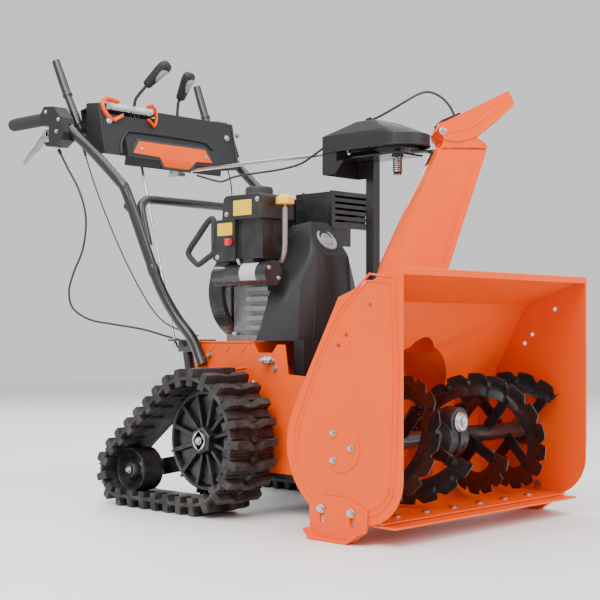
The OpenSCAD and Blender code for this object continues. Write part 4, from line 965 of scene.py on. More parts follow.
@dataclass
class Dash(SubAssembly):
    """The dash panel with its badge plate, headlight and the two control levers."""

    foot: tuple[float, float] = (0.996, 0.828)
    brow: tuple[float, float] = (1.023, 0.953)

    def build(self) -> None:
        """Builds the dash and its levers."""
        self.refine("dash_panel", DARK_PLASTIC, 0.0035)
        self.add("badge_plate", self.badge(0.0, 0.0012, 0.0022), ORANGE, bevel=0.0005)
        self.add("badge_frame", self.badge(-0.006, 0.0, 0.0012), BLACK_PLASTIC, bevel=0.0005)
        self.add("dash_brow", self.brow_rim(), DARK_PLASTIC)
        self.add("dash_pads", self.pads(), GREY_PLASTIC, bevel=0.0012)
        self.add("dash_screws", self.screws(), ZINC, bevel=0.0003)
        self.add("headlight_lens", self.lens(), LENS, replaces=("headlight",))
        self.add("headlight_core", self.lamp_core(), ZINC, bevel=0.0004)
        self.add("headlight_hooks", self.hooks(), ORANGE, bevel=0.0006)
        self.add("speed_lever_arm", self.speed_arm(), BLACK, "speed_lever", ("speed_lever",), bevel=0.0005)
        self.add("chute_lever_arm", self.chute_arm(), BLACK, "chute_lever", ("chute_lever",), bevel=0.0005)
        for name, body, route in (("speed", "speed_lever", self.speed_grip()),
                                  ("chute", "chute_lever", self.chute_grip())):
            self.add(f"{name}_lever_grip", self.grip(route), DARK_PLASTIC, body)
            self.add(f"{name}_lever_inlay", self.inlay(route), GREY_PLASTIC, body)
        self.dress(ZINC, "speed_rod")

    def on_face(self, x: float | Array, up: float | Array, out: float | Array) -> Array:
        """Returns points on the leaning front face: up along it from its foot, and out from it."""
        lean = unit(np.array(self.brow) - np.array(self.foot))
        x, up, out = np.broadcast_arrays(x, up, out)
        return np.stack([x, self.foot[0] + lean[0] * up - lean[1] * out,
                         self.foot[1] + lean[1] * up + lean[0] * out], -1)

    def badge(self, inset: float, low: float, high: float) -> Shape:
        """A plate on the apron: between its left and right edges at each height, it follows the apron's bend.

        Args:
            inset: how far its border lies inside the badge's own.
            low: how far its back stands off the apron.
            high: how far its face stands off.

        Returns:
            The closed plate.
        """
        h = np.array([0.811, 0.8115, 0.826, 0.8335, 0.836, 0.852, 0.8675, 0.868])
        left = np.interp(h, [0.811, 0.8335, 0.836, 0.868], [-0.044, -0.062, -0.144, -0.122]) + inset
        right = np.interp(h, [0.811, 0.8335, 0.836, 0.868], [0.036, 0.060, 0.116, 0.096]) - inset
        height = h + np.interp(h, [0.811, 0.868], [inset, -inset])
        back = np.interp(h, [0.804, 0.826, 0.868], [0.988, 0.984, 0.992])
        v = np.linspace(0, 1, 14)
        x = left[:, None] + (right - left)[:, None] * np.concatenate([v, v[::-1]])
        out = np.repeat([high, low], len(v))
        points = np.stack([x, back[:, None] - out, np.broadcast_to(height[:, None], x.shape)], -1)
        return grid(points, wrap_v=True, caps=True)

    def brow_rim(self) -> Shape:
        """The raised rim round the badge's bay, a tube pressed flat along the leaning face."""
        x = np.array([-0.172, -0.166, -0.150, -0.120, 0.090, 0.128, 0.156, 0.164])
        up = np.array([0.004, 0.034, 0.056, 0.066, 0.066, 0.054, 0.026, 0.004])
        side = self.on_face(np.array([-0.2205, -0.2205, -0.2205]), np.array([0.004, 0.06, 0.126]), 0.0005)
        return joined([sweep(self.on_face(x, up, 0.0005), 0.0042, 12, 5), sweep(side, 0.003, 10, 3).paired()])

    def pads(self) -> Shape:
        """The light grey pads on the dash's top corners."""
        outline = rounded([(-0.212, 1.0255), (-0.172, 1.0255), (-0.172, 1.058), (-0.212, 1.058)], 0.004)
        one = prism(outline, 0.954, 0.9585, "Z")
        return one.paired()

    def screws(self) -> Shape:
        """The two screws on the leaning face and those of the badge plate."""
        lean = unit(np.array(self.brow) - np.array(self.foot))
        face = [tuple(self.on_face(x, 0.086, 0.0)) for x in (0.196, -0.196)]
        plate = [(-0.118, 0.9842, 0.848), (0.094, 0.9842, 0.848)]
        return bolts(face, (0, -lean[1], lean[0]), 0.0062) + bolts(plate, (0, -1, 0), 0.0032)

    @staticmethod
    def lens() -> Shape:
        """The lamp's clear bar, with shallow grooves round it: radius 8.6 - 0.4 |sin| mm."""
        along = np.linspace(0, 0.134, 90)
        radius = 0.0086 - 0.0004 * np.abs(np.sin(along * 2 * np.pi / 0.011))
        profile = [(0.0, 0.0)] + list(zip(along.tolist(), radius.tolist())) + [(0.134, 0.0)]
        return lathe(profile, (-0.196, 1.016, 0.948), (1, 0, 0), 32)

    @staticmethod
    def lamp_core() -> Shape:
        """The reflector inside the lamp, its middle clip and end rings."""
        rod = lathe([(0, 0), (0, 0.004), (0.124, 0.004), (0.124, 0)], (-0.191, 1.017, 0.948), (1, 0, 0), 16)
        ring = lathe([(0, 0.0086), (0, 0.0094), (0.005, 0.0094), (0.005, 0.0086)], (0, 1.016, 0.948),
                     (1, 0, 0), 32, wrap=True)
        return joined([rod] + [ring.moved((x, 0, 0)) for x in (-0.1965, -0.1315, -0.0665)])

    def hooks(self) -> Shape:
        """The orange hooks round the lamp's ends: a flat bar along an open hexagon."""
        x = np.array([-0.160, -0.186, -0.204, -0.213, -0.208, -0.190, -0.166, -0.156])
        up = np.array([0.136, 0.140, 0.139, 0.124, 0.106, 0.088, 0.097, 0.103])
        hook = sweep(self.on_face(x, up, 0.0035), 0.0068, 10, 4, flat=0.6)
        other = Shape(hook.points * [-0.5, 1, 1] + [-0.1505, 0, 0], [f[::-1] for f in hook.faces])
        return hook + other

    @staticmethod
    def speed_grip() -> Array:
        """Returns the speed lever's grip as points with a radius each."""
        return np.array([[-0.078, 1.016, 1.0135, 0.0085], [-0.0765, 1.0125, 1.017, 0.0115],
                         [-0.0735, 1.006, 1.024, 0.0125], [-0.066, 0.992, 1.038, 0.0145],
                         [-0.058, 0.979, 1.052, 0.0163], [-0.0525, 0.969, 1.061, 0.0155],
                         [-0.0495, 0.9635, 1.0665, 0.0105], [-0.0485, 0.962, 1.068, 0.004]])

    @staticmethod
    def chute_grip() -> Array:
        """Returns the chute lever's grip as points with a radius each."""
        return np.array([[0.055, 1.0415, 1.0, 0.0085], [0.055, 1.0385, 1.0045, 0.0115],
                         [0.055, 1.0325, 1.013, 0.0125], [0.055, 1.021, 1.031, 0.0145],
                         [0.055, 1.011, 1.046, 0.0162], [0.055, 1.0035, 1.057, 0.0150],
                         [0.055, 0.9995, 1.0625, 0.0100], [0.055, 0.9985, 1.0640, 0.004]])

    @staticmethod
    def grip(route: Array) -> Shape:
        """A lever's moulded grip: a broad oval that swells towards its end."""
        return sweep(route[:, :3], route[:, 3], 24, 5, flat=1.12)

    @staticmethod
    def inlay(route: Array) -> Shape:
        """The light grey inlay on a grip's front, a narrower oval that stands a little proud."""
        middle = route[2:6]
        return sweep(middle[:, :3] + [0.0, -0.0042, -0.0020], middle[:, 3] * np.array([0.55, 0.8, 0.86, 0.6]),
                     20, 5)

    @staticmethod
    def speed_arm() -> Shape:
        """The speed lever's boss, rod and lower arm."""
        boss = lathe([(0, 0.0052), (0, 0.012), (0.016, 0.012), (0.016, 0.0052)], (-0.096, 1.060, 0.862),
                     (1, 0, 0), 36, wrap=True)
        rod = sweep(np.array([[-0.088, 1.059, 0.871], [-0.088, 1.0530, 0.930], [-0.088, 1.049, 0.972],
                              [-0.0865, 1.041, 0.988], [-0.0775, 1.0155, 1.014]]), 0.0041, 14, 6)
        arm = sweep(np.array([[-0.088, 1.053, 0.858], [-0.088, 1.044, 0.854], [-0.088, 1.034, 0.850]]),
                    0.0048, 14, 3)
        return joined([boss, rod, arm])

    @staticmethod
    def chute_arm() -> Shape:
        """The chute lever's foot, pin and rod."""
        foot = prism(rounded([(1.052, 0.8045), (1.068, 0.8045), (1.068, 0.822), (1.052, 0.822)], 0.003),
                     0.050, 0.060, "X")
        rod = sweep(np.array([[0.055, 1.0595, 0.820], [0.055, 1.0545, 0.900], [0.055, 1.049, 0.982],
                              [0.055, 1.0405, 1.0015]]), 0.0041, 14, 6)
        pin = lathe([(0, 0), (0, 0.003), (0.024, 0.003), (0.024, 0)], (0.043, 1.060, 0.812), (1, 0, 0), 16)
        return joined([foot, rod, pin])


# ---------- frame and tracks ----------

@dataclass
class Chassis(SubAssembly):
    """The orange frame, the belt cover and the drive inside."""

    side_x: float = 0.150
    medal: tuple[float, float] = (0.475, 0.607)

    def build(self) -> None:
        """Builds the frame's pieces and dresses the drive inside it."""
        self.refine("tractor_frame", ORANGE, 0.0010)
        self.add("frame_swages", self.swages(), ORANGE, bevel=0.0006)
        self.add("frame_studs", self.studs(), ZINC, bevel=0.0003)
        self.refine("belly_pan", BLACK_DUSTY, 0.0008)
        self.refine("belt_cover", DARK_PLASTIC, 0.0045)
        self.add("cover_medallion", self.medallion(), GREY_PLASTIC, bevel=0.0006)
        self.add("cover_seam", self.seam(), DARK_PLASTIC)
        self.refine("fasteners", ZINC, 0.0004)
        self.dress(RUBBER, "belts_and_chain", "friction_wheel")
        self.dress(CAST, "drive_disc")
        self.dress(ZINC, "hex_shaft", "strut_rod")
        self.refine("lock_strut", BLACK, 0.0010)

    def swages(self) -> Shape:
        """Small pressed triangles along the frame's upper side, and its folded top edge."""
        one = prism(rounded([(0.0, 0.366), (0.030, 0.366), (0.015, 0.350)], 0.003), -self.side_x - 0.0014,
                    -self.side_x + 0.001, "X")
        row = [one.moved((0.0, back, 0.0)) for back in (0.580, 0.632, 0.684)]
        edge = sweep(np.array([[-self.side_x, 0.5605, 0.3745], [-self.side_x, 0.650, 0.3745],
                               [-self.side_x, 0.7505, 0.3745]]), 0.0026, 10, 2)
        rib = sweep(np.array([[-self.side_x, 0.580, 0.318], [-self.side_x, 0.640, 0.312],
                              [-self.side_x, 0.735, 0.316]]), 0.0024, 10, 4)
        return joined(row + [edge, rib]).paired()

    def studs(self) -> Shape:
        """Threaded studs with nuts low on the frame's side; the thread is a saw wave along the stud."""
        along = np.arange(0, 0.030, 0.0005)
        thread = 0.0042 + 0.0006 * np.abs(((along / 0.0015) % 1.0) * 2 - 1)
        profile = [(0.0, 0.0)] + list(zip(along.tolist(), thread.tolist())) + [(0.030, 0.0)]
        stud = lathe(profile, (-self.side_x - 0.001, 0.508, 0.336), (-1, 0, 0), 18)
        nuts = joined([bolts([(-self.side_x - x, 0.508, 0.336)], (-1, 0, 0), 0.0078) for x in (0.001, 0.013)])
        rest = bolts([(-self.side_x, 0.560, 0.285), (-self.side_x, 0.575, 0.255),
                      (-self.side_x, 0.545, 0.118), (-self.side_x, 0.420, 0.245)], (-1, 0, 0), 0.0050)
        return (stud + nuts + rest).paired()

    def medallion(self) -> Shape:
        """A plain round medallion with two rings, on the cover's sloping top."""
        profile = [(-0.006, 0.0), (-0.006, 0.0290), (0.0018, 0.0290), (0.0030, 0.0278), (0.0030, 0.0225),
                   (0.0014, 0.0215), (0.0014, 0.0165), (0.0030, 0.0155), (0.0034, 0.0080), (0.0020, 0.0070),
                   (0.0020, 0.0)]
        way = unit(np.array([0.0, -0.82, 0.575]))
        centre = (0.0, self.medal[0] + 0.0015, self.medal[1] - 0.001)
        return lathe(profile, centre, tuple(way), 56)

    @staticmethod
    def seam() -> Shape:
        """Moulded ridges down the cover's front corners and along its rear edge."""
        corner = np.array([[-0.0500, 0.4555, 0.566], [-0.0580, 0.4555, 0.470], [-0.0658, 0.4555, 0.382]])
        rear = np.array([[-0.149, 0.5485, 0.380], [-0.098, 0.5485, 0.492], [-0.0655, 0.5485, 0.570],
                         [-0.0595, 0.5485, 0.602], [-0.031, 0.5485, 0.639]])
        return (sweep(corner, 0.0018, 8, 3) + sweep(rear, 0.0024, 10, 3)).paired()


@dataclass
class Tracks(SubAssembly):
    """The rubber tracks, their drive wheels, idlers and carriage."""

    axle: tuple[float, float] = (0.615, 0.160)
    idler: tuple[float, float] = (0.855, 0.079)
    lug: float = 0.019
    carcass: float = 0.008
    lugs: int = 28
    length: float = field(init=False, default=0.0)

    def build(self) -> None:
        """Builds both sides."""
        belt, teeth = self.belt(), self.lug_row()
        for side, carcass, tread in (("right", belt, teeth), ("left", belt.mirrored(), teeth.mirrored())):
            self.add(f"track_carcass_{side}", carcass, TREAD, "track_carriage", (f"track_belt_{side}",))
            self.add(f"track_lugs_{side}", tread, TREAD, "track_carriage")
        self.add("drive_wheel_pair", self.wheel().paired(), BLACK_DUSTY, "drive_axle", ("drive_wheels",),
                 bevel=0.0006)
        self.add("wheel_hub_plates", self.hub_plate().paired(), ZINC, "drive_axle", bevel=0.0005)
        self.add("idler_pair", self.idler_wheel().paired(), BLACK_DUSTY, "idlers", ("idler_wheels",),
                 bevel=0.0005)
        self.add("idler_bolts", self.idler_bolt().paired(), ZINC, "track_carriage", bevel=0.0004)
        self.refine("track_carriage", BLACK_DUSTY, 0.0015, "track_carriage")
        self.dress(ZINC, "drive_axle")

    def station(self, s: Array) -> tuple[Array, Array]:
        """Follows the track's loop at the carcass's outer face.

        The loop is an arc round the drive wheel, the flat run on the ground, an arc round the idler and the
        slanting run back.

        Args:
            s: distances along the loop.

        Returns:
            The points as [back, height], and the angle of the outward direction at each.
        """
        centre0, centre1 = np.array(self.axle), np.array(self.idler)
        r0, r1 = centre0[1] - self.lug, centre1[1] - self.lug
        base = centre1[0] - centre0[0]
        drop = centre0[1] - centre1[1]
        angle = math.atan2(-drop, base) + math.acos(drop / math.hypot(base, drop))
        arc0, arc1 = r0 * (1.5 * math.pi - angle), r1 * (angle + 0.5 * math.pi)
        self.length = arc0 + arc1 + 2 * base
        s = np.mod(s, self.length)
        first = s < arc0
        second = (s >= arc0) & (s < arc0 + base)
        third = (s >= arc0 + base) & (s < arc0 + base + arc1)
        phi = np.select([first, second, third], [angle + s / r0, -0.5 * math.pi,
                                                 -0.5 * math.pi + (s - arc0 - base) / r1], angle)
        out = np.stack([np.cos(phi), np.sin(phi)], -1)
        start = centre1 + r1 * np.array([math.cos(angle), math.sin(angle)])
        end = centre0 + r0 * np.array([math.cos(angle), math.sin(angle)])
        part = ((s - arc0 - base - arc1) / base)[..., None]
        along = np.stack([centre0[0] + (s - arc0), np.full_like(s, centre0[1] - r0)], -1)
        points = np.where(first[..., None], centre0 + r0 * out,
                          np.where(second[..., None], along, np.where(third[..., None], centre1 + r1 * out,
                                                                      start + (end - start) * part)))
        return points, phi

    def belt(self) -> Shape:
        """The carcass: a closed section carried round the loop, with fine ribs across its outer face.

        up(s, v) = section(v) + 0.9 mm * wave(s) on the outer face only.
        """
        self.station(np.zeros(1))
        count = self.lugs * 24
        s = np.arange(count) / count * self.length
        points, phi = self.station(s)
        x = np.array([-0.300, -0.2985, -0.292, -0.252, -0.235, -0.218, -0.178, -0.1715, -0.170, -0.170,
                      -0.1715, -0.235, -0.2985, -0.300])
        up = np.array([-0.0015, -0.0002, 0.0, 0.0, 0.0, 0.0, 0.0, -0.0002, -0.0015, -0.0068, -0.0078, -0.0080,
                       -0.0078, -0.0068])
        ribbed = np.array([0, 0, 1, 1, 1, 1, 1, 0, 0, 0, 0, 0, 0, 0.0])
        wave = 0.0009 * np.sin(2 * np.pi * s * self.lugs * 4 / self.length)
        lift = up[None, :] + wave[:, None] * ribbed
        out = np.stack([np.cos(phi), np.sin(phi)], -1)[:, None, :]
        plane = points[:, None, :] + lift[..., None] * out
        return grid(np.concatenate([np.broadcast_to(x[None, :, None], lift.shape + (1,)), plane], -1),
                    wrap_u=True, wrap_v=True)

    def lug_shape(self) -> Shape:
        """One station's tread and guide, as [across, along the loop, up]: two bent bars, a stud and a wedge."""
        half = [(-0.300, -0.0085), (-0.262, -0.0085), (-0.247, -0.0150), (-0.235, -0.0150), (-0.235, -0.0040),
                (-0.244, -0.0030), (-0.258, 0.0070), (-0.300, 0.0085)]
        foot = np.array(half)
        middle = foot.mean(0)
        rows = [np.column_stack([foot, np.full(8, -0.001)]), np.column_stack([middle + (foot - middle) * 0.97,
                                                                              np.full(8, 0.012)]),
                np.column_stack([middle + (foot - middle) * 0.90, np.full(8, 0.0183)])]
        bar = grid(np.stack(rows), wrap_v=True, caps=True)
        other = Shape(bar.points * [-1, 1, 1] + [-0.470, 0, 0], [f[::-1] for f in bar.faces])
        notch = [block((x, -0.0105, 0.0), (x + 0.007, -0.0075, 0.0150)) for x in (-0.292, -0.276)]
        stud = lathe([(0.0, 0.0), (0.0, 0.0085), (0.008, 0.0075), (0.009, 0.004), (0.007, 0.0)],
                     (-0.235, 0.0095, -0.001), (0, 0, 1), 10)
        bead = [block((x, 0.0125, -0.001), (x + 0.044, 0.0150, 0.0042)) for x in (-0.299, -0.215)]
        wedge = prism(np.array([[-0.2995, -0.0075], [-0.2995, -0.0200], [-0.294, -0.0205],
                                [-0.262, -0.0078]]), -0.009, 0.009, "Y")
        cleat = block((-0.258, -0.003, -0.0125), (-0.226, 0.003, -0.0075))
        return joined([bar, other, stud, wedge, cleat] + notch + bead)

    def lug_row(self) -> Shape:
        """Every lug round the loop, one shape turned and moved to each station in one operation."""
        self.station(np.zeros(1))
        s = (np.arange(self.lugs) + 0.5) * self.length / self.lugs
        points, phi = self.station(s)
        zero, one = np.zeros_like(phi), np.ones_like(phi)
        matrices = np.stack([np.stack([one, zero, zero], -1), np.stack([zero, -np.sin(phi), np.cos(phi)], -1),
                             np.stack([zero, np.cos(phi), np.sin(phi)], -1)], 1)
        flip = np.array([[1, 0, 0], [0, -1, 0], [0, 0, 1.0]])
        offsets = np.column_stack([zero, points])
        return repeated(self.lug_shape(), matrices @ flip, offsets)

    def wheel(self) -> Shape:
        """A drive wheel: rim, web, wedge pads between paired spokes, prongs and a six-sided hub."""
        y, z = self.axle
        centre = (0.0, y, z)
        rim = lathe([(-0.246, 0.1015), (-0.246, 0.1085), (-0.244, 0.1100), (-0.196, 0.1100), (-0.196, 0.1030),
                     (-0.240, 0.1015)], centre, (1, 0, 0), 72, wrap=True)
        web = lathe([(-0.2255, 0.030), (-0.2255, 0.1035), (-0.2215, 0.1035), (-0.2215, 0.030)], centre,
                    (1, 0, 0), 72, wrap=True)
        hub = lathe([(-0.2575, 0.0125), (-0.2575, 0.0210), (-0.2590, 0.0245), (-0.2590, 0.0290),
                     (-0.2560, 0.0320), (-0.2400, 0.0340), (-0.2200, 0.0340), (-0.1680, 0.0240),
                     (-0.1680, 0.0125)], centre, (1, 0, 0), 6, wrap=True)
        pad = prism(rounded([(-0.0070, 0.050), (-0.0190, 0.0925), (0.0, 0.0985), (0.0190, 0.0925),
                             (0.0070, 0.050)], 0.003), -0.2330, -0.2250, "X")
        spoke = prism(np.array([[-0.0050, 0.031], [-0.0225, 0.1025], [-0.0270, 0.1020], [-0.0085, 0.031]]),
                      -0.2450, -0.2240, "X")
        twin = Shape(spoke.points * [1, -1, 1], [f[::-1] for f in spoke.faces])
        prong = prism(np.array([[-0.0105, 0.104], [-0.0080, 0.1285], [-0.0035, 0.1295], [-0.0030, 0.1230],
                                [0.0030, 0.1230], [0.0035, 0.1295], [0.0080, 0.1285], [0.0105, 0.104]]),
                      -0.2230, -0.1950, "X")
        buttress = prism(np.array([[-0.0022, 0.106], [-0.0022, 0.122], [0.0022, 0.122], [0.0022, 0.106]]),
                         -0.2400, -0.1950, "X")
        sector, tooth = joined([pad, spoke, twin]), joined([prong, buttress])
        whole = joined([repeated(sector, np.stack([turn("X", a) for a in range(0, 360, 30)]),
                                 np.zeros((12, 3))), repeated(tooth,
                                                              np.stack([turn("X", a + 15)
                                                                        for a in range(0, 360, 30)]),
                                                              np.zeros((12, 3)))])
        return joined([rim, web, hub, whole.moved(centre)])

    def hub_plate(self) -> Shape:
        """The plated lozenge that locks the hub, and its bolt."""
        y, z = self.axle
        plate = prism(rounded([(y - 0.019, z), (y, z + 0.024), (y + 0.019, z), (y, z - 0.024)], 0.004),
                      -0.2620, -0.2585, "X")
        return plate + bolts([(-0.2600, y, z)], (-1, 0, 0), 0.0072).moved((-0.0012, 0, 0))

    def idler_wheel(self) -> Shape:
        """A dished idler with a rolled rim and stepped rings."""
        profile = [(-0.2560, 0.0465), (-0.2580, 0.0480), (-0.2580, 0.0500), (-0.2560, 0.0510),
                   (-0.2020, 0.0510), (-0.2000, 0.0495), (-0.2020, 0.0440), (-0.2180, 0.0400),
                   (-0.2200, 0.0200), (-0.1680, 0.0190), (-0.1680, 0.0092), (-0.2600, 0.0092),
                   (-0.2600, 0.0170), (-0.2560, 0.0200), (-0.2440, 0.0215), (-0.2400, 0.0260),
                   (-0.2425, 0.0290), (-0.2400, 0.0320), (-0.2400, 0.0410), (-0.2450, 0.0440)]
        return lathe(profile, (0.0, *self.idler), (1, 0, 0), 64, wrap=True)

    def idler_bolt(self) -> Shape:
        """The bolt in the idler's axle."""
        return bolts([(-0.2620, *self.idler)], (-1, 0, 0), 0.0068)


# ---------- engine ----------

@dataclass
class Engine(SubAssembly):
    """The engine with its covers, muffler, tank, starter and the pieces an operator pulls or turns."""

    crank_z: float = 0.490

    def build(self) -> None:
        """Builds the engine's pieces."""
        self.refine("engine_block", CAST, 0.0010)
        self.refine("blower_housing", BLACK_DUSTY, 0.0030)
        self.add("blower_vents", self.vents(), BLACK_DUSTY)
        self.refine("starter_motor", BLACK, 0.0015)
        self.add("starter_label", self.starter_label(), PALE_LABEL)
        self.add("starter_screws", self.starter_screws(), ZINC, bevel=0.0003)
        self.refine("engine_covers", BLACK_DUSTY, 0.0035)
        self.add("cover_labels", self.labels(), LABEL)
        self.add("cover_screws", self.cover_screws(), ZINC, bevel=0.0003)
        self.add("breather_hose", self.hose(), RUBBER)
        self.refine("muffler", BLACK_DUSTY, 0.0020)
        self.add("muffler_ribs", self.muffler_ribs(), BLACK_DUSTY)
        self.add("recoil_loop", self.recoil_loop(), BLACK_PLASTIC, "recoil_handle", ("recoil_handle",),
                 bevel=0.0006)
        self.add("dipstick_cap", self.dipstick(), YELLOW, "dipstick", ("dipstick",), bevel=0.0005)
        self.add("fuel_cap_ribbed", self.fuel_cap(), BLACK_PLASTIC, "fuel_cap", ("fuel_cap",), bevel=0.0006)
        self.add("ignition_key_blade", self.key(), RED, "ignition_key", ("ignition_key",), bevel=0.0008)
        self.dress(ZINC, "crankshaft")

    def vents(self) -> Shape:
        """The row of round beads along the blower housing's rim."""
        bead = lathe([(0.0, 0.0), (0.0, 0.0032), (0.0012, 0.0026), (0.0016, 0.0)], (0, 0, 0), (0, 0, 1), 12)
        rim_r, shapes = 0.1136, []
        for angle in np.radians(np.arange(100, 262, 6.5)):
            out = np.array([math.cos(angle), 0.0, math.sin(angle)])
            side = np.array([0.0, 1.0, 0.0])
            one = bead.turned(np.column_stack([np.cross(side, out), side, out]))
            shapes += [one.moved((rim_r * out[0], back, self.crank_z + rim_r * out[2]))
                       for back in (0.709, 0.720, 0.731)]
        return joined(shapes)

    @staticmethod
    def starter_label() -> Shape:
        """A blank label wrapped round the starter's barrel."""
        a = np.radians(np.linspace(120, 215, 24))
        ring = np.stack([-0.140 + 0.0266 * np.cos(a), 0.527 + 0.0266 * np.sin(a)], -1)
        inner = np.stack([-0.140 + 0.0255 * np.cos(a), 0.527 + 0.0255 * np.sin(a)], -1)
        loop = np.vstack([ring, inner[::-1]])
        rows = [np.column_stack([loop[:, 0], np.full(len(loop), back), loop[:, 1]])
                for back in (0.538, 0.588)]
        return grid(np.stack(rows), wrap_v=True, caps=True)

    @staticmethod
    def starter_screws() -> Shape:
        """The two through bolts in the starter's end cap, and its terminal."""
        terminal = lathe([(0, 0), (0, 0.004), (0.014, 0.004), (0.014, 0)], (-0.152, 0.600, 0.549),
                         (-0.5, 0, 0.85), 14)
        return bolts([(-0.155, 0.505, 0.538), (-0.125, 0.505, 0.516)], (0, -1, 0), 0.0042) + terminal

    @staticmethod
    def labels() -> Shape:
        """Two blank labels: one on the upper cover's side and one on its sloping front edge."""
        side = prism(rounded([(0.548, 0.656), (0.606, 0.656), (0.606, 0.690), (0.548, 0.690)], 0.003),
                     -0.1664, -0.1654, "X")
        lower = prism(rounded([(0.612, 0.614), (0.660, 0.614), (0.660, 0.642), (0.612, 0.642)], 0.003),
                      -0.1644, -0.1634, "X")
        return side + lower

    @staticmethod
    def cover_screws() -> Shape:
        """The screws that hold the covers."""
        side = bolts([(-0.166, 0.530, 0.689), (-0.166, 0.628, 0.661), (-0.164, 0.660, 0.566)], (-1, 0, 0),
                     0.0045)
        top = bolts([(-0.150, 0.622, 0.702), (-0.082, 0.622, 0.702)], (0, 0, 1), 0.0045)
        return side + top

    @staticmethod
    def hose() -> Shape:
        """A breather hose from the block's side up behind the cover, 5 mm in radius."""
        route = np.array([[-0.080, 0.556, 0.545], [-0.092, 0.545, 0.572], [-0.104, 0.538, 0.600],
                          [-0.112, 0.532, 0.630], [-0.116, 0.530, 0.644]])
        return sweep(route, 0.0050, 14, 8)

    @staticmethod
    def muffler_ribs() -> Shape:
        """Pressed ribs round the muffler's guard, and its screws."""
        ribs = []
        for z in (0.648, 0.716):
            ribs.append(sweep(np.array([[0.058, 0.5065, z], [0.120, 0.5065, z], [0.181, 0.5065, z]]), 0.0018,
                              8, 2))
        side_x, sag = 0.0535, 0.004
        for edge, middle in ((0.708, 0.708 + sag), (0.654, 0.654 - sag)):
            ribs.append(sweep(np.array([[side_x, 0.520, edge], [side_x, 0.570, middle],
                                        [side_x, 0.614, edge]]), 0.0020, 8, 4))
        screws = bolts([(x, z, 0.722) for x, z in ((0.066, 0.520), (0.172, 0.520), (0.066, 0.610),
                                                   (0.172, 0.610))], (0, 0, 1), 0.0042)
        return joined(ribs + [screws])

    @staticmethod
    def recoil_loop() -> Shape:
        """The D-shaped pull with a slimmer back bar, and a ferrule for its rope."""
        path = np.array([[-0.080, 0.766, 0.664], [-0.080, 0.784, 0.659], [-0.080, 0.817, 0.628],
                         [-0.080, 0.849, 0.597], [-0.080, 0.852, 0.582], [-0.080, 0.824, 0.560],
                         [-0.080, 0.813, 0.560], [-0.080, 0.790, 0.571], [-0.080, 0.768, 0.582],
                         [-0.080, 0.764, 0.593], [-0.080, 0.765, 0.630]])
        radii = np.array([0.0066, 0.0074, 0.0076, 0.0074, 0.0070, 0.0066, 0.0066, 0.0070, 0.0070, 0.0064,
                          0.0060])
        loop = sweep(path, radii, 18, 6, flat=0.98, closed=True)
        ferrule = sweep(np.array([[-0.080, 0.7585, 0.606], [-0.080, 0.762, 0.606], [-0.080, 0.766, 0.606]]),
                        0.0062, 16, 2)
        return loop + ferrule

    @staticmethod
    def dipstick() -> Shape:
        """The yellow filler cap with six lobes, and its stick: radius 19.6 + 1.2 cos 6a mm."""
        a = np.linspace(0, 2 * np.pi, 96, endpoint=False)
        lobed = 0.0196 + 0.0012 * np.cos(6 * a)
        rings = [(0.6782, 0.90), (0.6790, 0.98), (0.6890, 1.0), (0.6935, 0.97), (0.6955, 0.86),
                 (0.6962, 0.60), (0.6992, 0.54), (0.6998, 0.40)]
        points = np.stack([np.stack([-0.118 + grow * lobed * np.cos(a), 0.492 + grow * lobed * np.sin(a),
                                     np.full_like(a, z)], -1) for z, grow in rings])
        stick = lathe([(0.0, 0.0), (0.0, 0.0020), (0.110, 0.0020), (0.110, 0.0)], (-0.118, 0.492, 0.680),
                      (0, 0, -1), 12)
        return grid(points, wrap_v=True, caps=True) + stick

    @staticmethod
    def fuel_cap() -> Shape:
        """The fuel cap, with fine ribs round its skirt: radius 32.2 + 0.6 |cos 18a| mm."""
        a = np.linspace(0, 2 * np.pi, 216, endpoint=False)
        ribbed = 0.0322 + 0.0006 * np.abs(np.cos(18 * a))
        rings = [(0.7145, 0.97, 0), (0.7155, 1.0, 1), (0.7330, 1.0, 1), (0.7365, 0.985, 0.4),
                 (0.7392, 0.93, 0), (0.7400, 0.80, 0), (0.7390, 0.70, 0), (0.7390, 0.45, 0),
                 (0.7408, 0.40, 0)]
        points = np.stack([np.stack([-0.006 + grow * (0.0322 + (ribbed - 0.0322) * rib) * np.cos(a),
                                     0.686 + grow * (0.0322 + (ribbed - 0.0322) * rib) * np.sin(a),
                                     np.full_like(a, z)], -1) for z, grow, rib in rings])
        return grid(points, wrap_v=True, caps=True)

    @staticmethod
    def key() -> Shape:
        """The red key: a flat loop on a short stem."""
        stem = lathe([(0, 0), (0, 0.0060), (0.004, 0.0070), (0.006, 0.0045), (0.006, 0.0)],
                     (-0.1645, 0.616, 0.598), (-1, 0, 0), 24)
        blade = prism(rounded([(0.610, 0.590), (0.622, 0.590), (0.6235, 0.606), (0.6085, 0.606)], 0.003),
                      -0.1778, -0.1690, "X")
        return stem + blade


# ---------- studio ----------

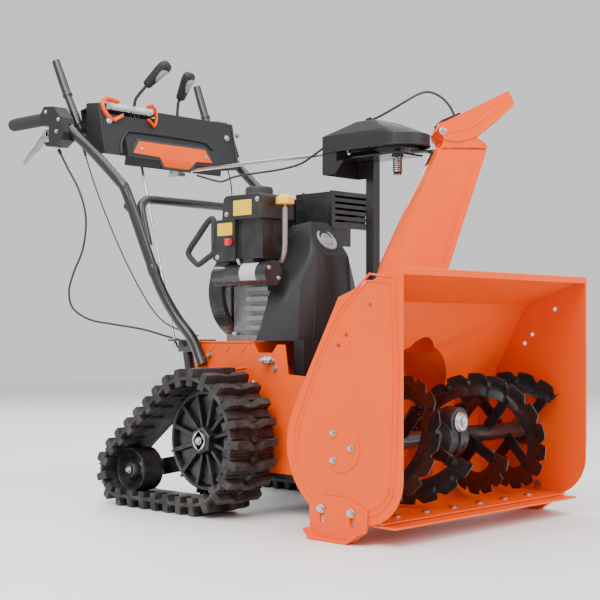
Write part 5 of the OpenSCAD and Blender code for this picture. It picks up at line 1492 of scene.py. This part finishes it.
def studio() -> None:
    """Sets the pale floor, the soft lights and the camera."""
    floor = bpy.data.materials.new("pale_floor")
    floor.use_nodes = True
    shader = floor.node_tree.nodes["Principled BSDF"]
    shader.inputs["Base Color"].default_value = (0.80, 0.80, 0.80, 1.0)
    shader.inputs["Roughness"].default_value = 0.55
    mesh = bpy.data.meshes.new("studio_floor")
    reach = np.linspace(-6.0, 6.0, 13)
    points = np.stack(np.meshgrid(reach, reach, [-0.0005], indexing="ij"), -1).reshape(-1, 3)
    faces = [[i * 13 + j, (i + 1) * 13 + j, (i + 1) * 13 + j + 1, i * 13 + j + 1] for i in range(12)
             for j in range(12)]
    mesh.from_pydata(points.tolist(), [], faces)
    mesh.materials.append(floor)
    ground = bpy.data.objects.new("studio_floor", mesh)
    bpy.context.scene.collection.objects.link(ground)
    for name, place, size, power in (("key_light", (-2.4, -1.0, 3.0), 2.6, 150.0),
                                     ("front_light", (0.6, -3.6, 2.2), 2.8, 100.0),
                                     ("rear_light", (1.8, 2.6, 2.6), 2.6, 80.0),
                                     ("top_light", (0.0, 0.0, 4.0), 3.6, 110.0)):
        lamp = bpy.data.lights.new(name, "AREA")
        lamp.shape = "SQUARE"
        lamp.size = size
        lamp.energy = power
        light = bpy.data.objects.new(name, lamp)
        light.location = place
        light.rotation_euler = (Vector((0.0, 0.0, 0.45)) - Vector(place)).to_track_quat("-Z", "Y").to_euler()
        bpy.context.scene.collection.objects.link(light)
    world = bpy.data.worlds.new("studio_air")
    world.use_nodes = True
    world.node_tree.nodes["Background"].inputs["Color"].default_value = (1.0, 1.0, 1.0, 1.0)
    world.node_tree.nodes["Background"].inputs["Strength"].default_value = 0.9
    bpy.context.scene.world = world
    lens = bpy.data.cameras.new("studio_camera")
    lens.lens = 75.78
    lens.sensor_width = 36.0
    lens.shift_y = 0.0517
    camera = bpy.data.objects.new("studio_camera", lens)
    camera.location = (-2.106, -2.102, 0.3995)
    camera.rotation_euler = (math.radians(90.0), 0.0, math.radians(-46.47))
    bpy.context.scene.collection.objects.link(camera)
    bpy.context.scene.camera = camera


def main() -> None:
    """Builds the machine group by group."""
    logging.basicConfig(level=logging.INFO, format="%(message)s")
    for group in (Intake(), Augers(), Chute(), Chassis(), Tracks(), Handlebars(), Dash(), Engine()):
        group.build()
        LOG.info("%s: %s", type(group).__name__, ", ".join(group.pieces))
    studio()
    bpy.context.view_layer.update()


if __name__ == "__main__":
    main()
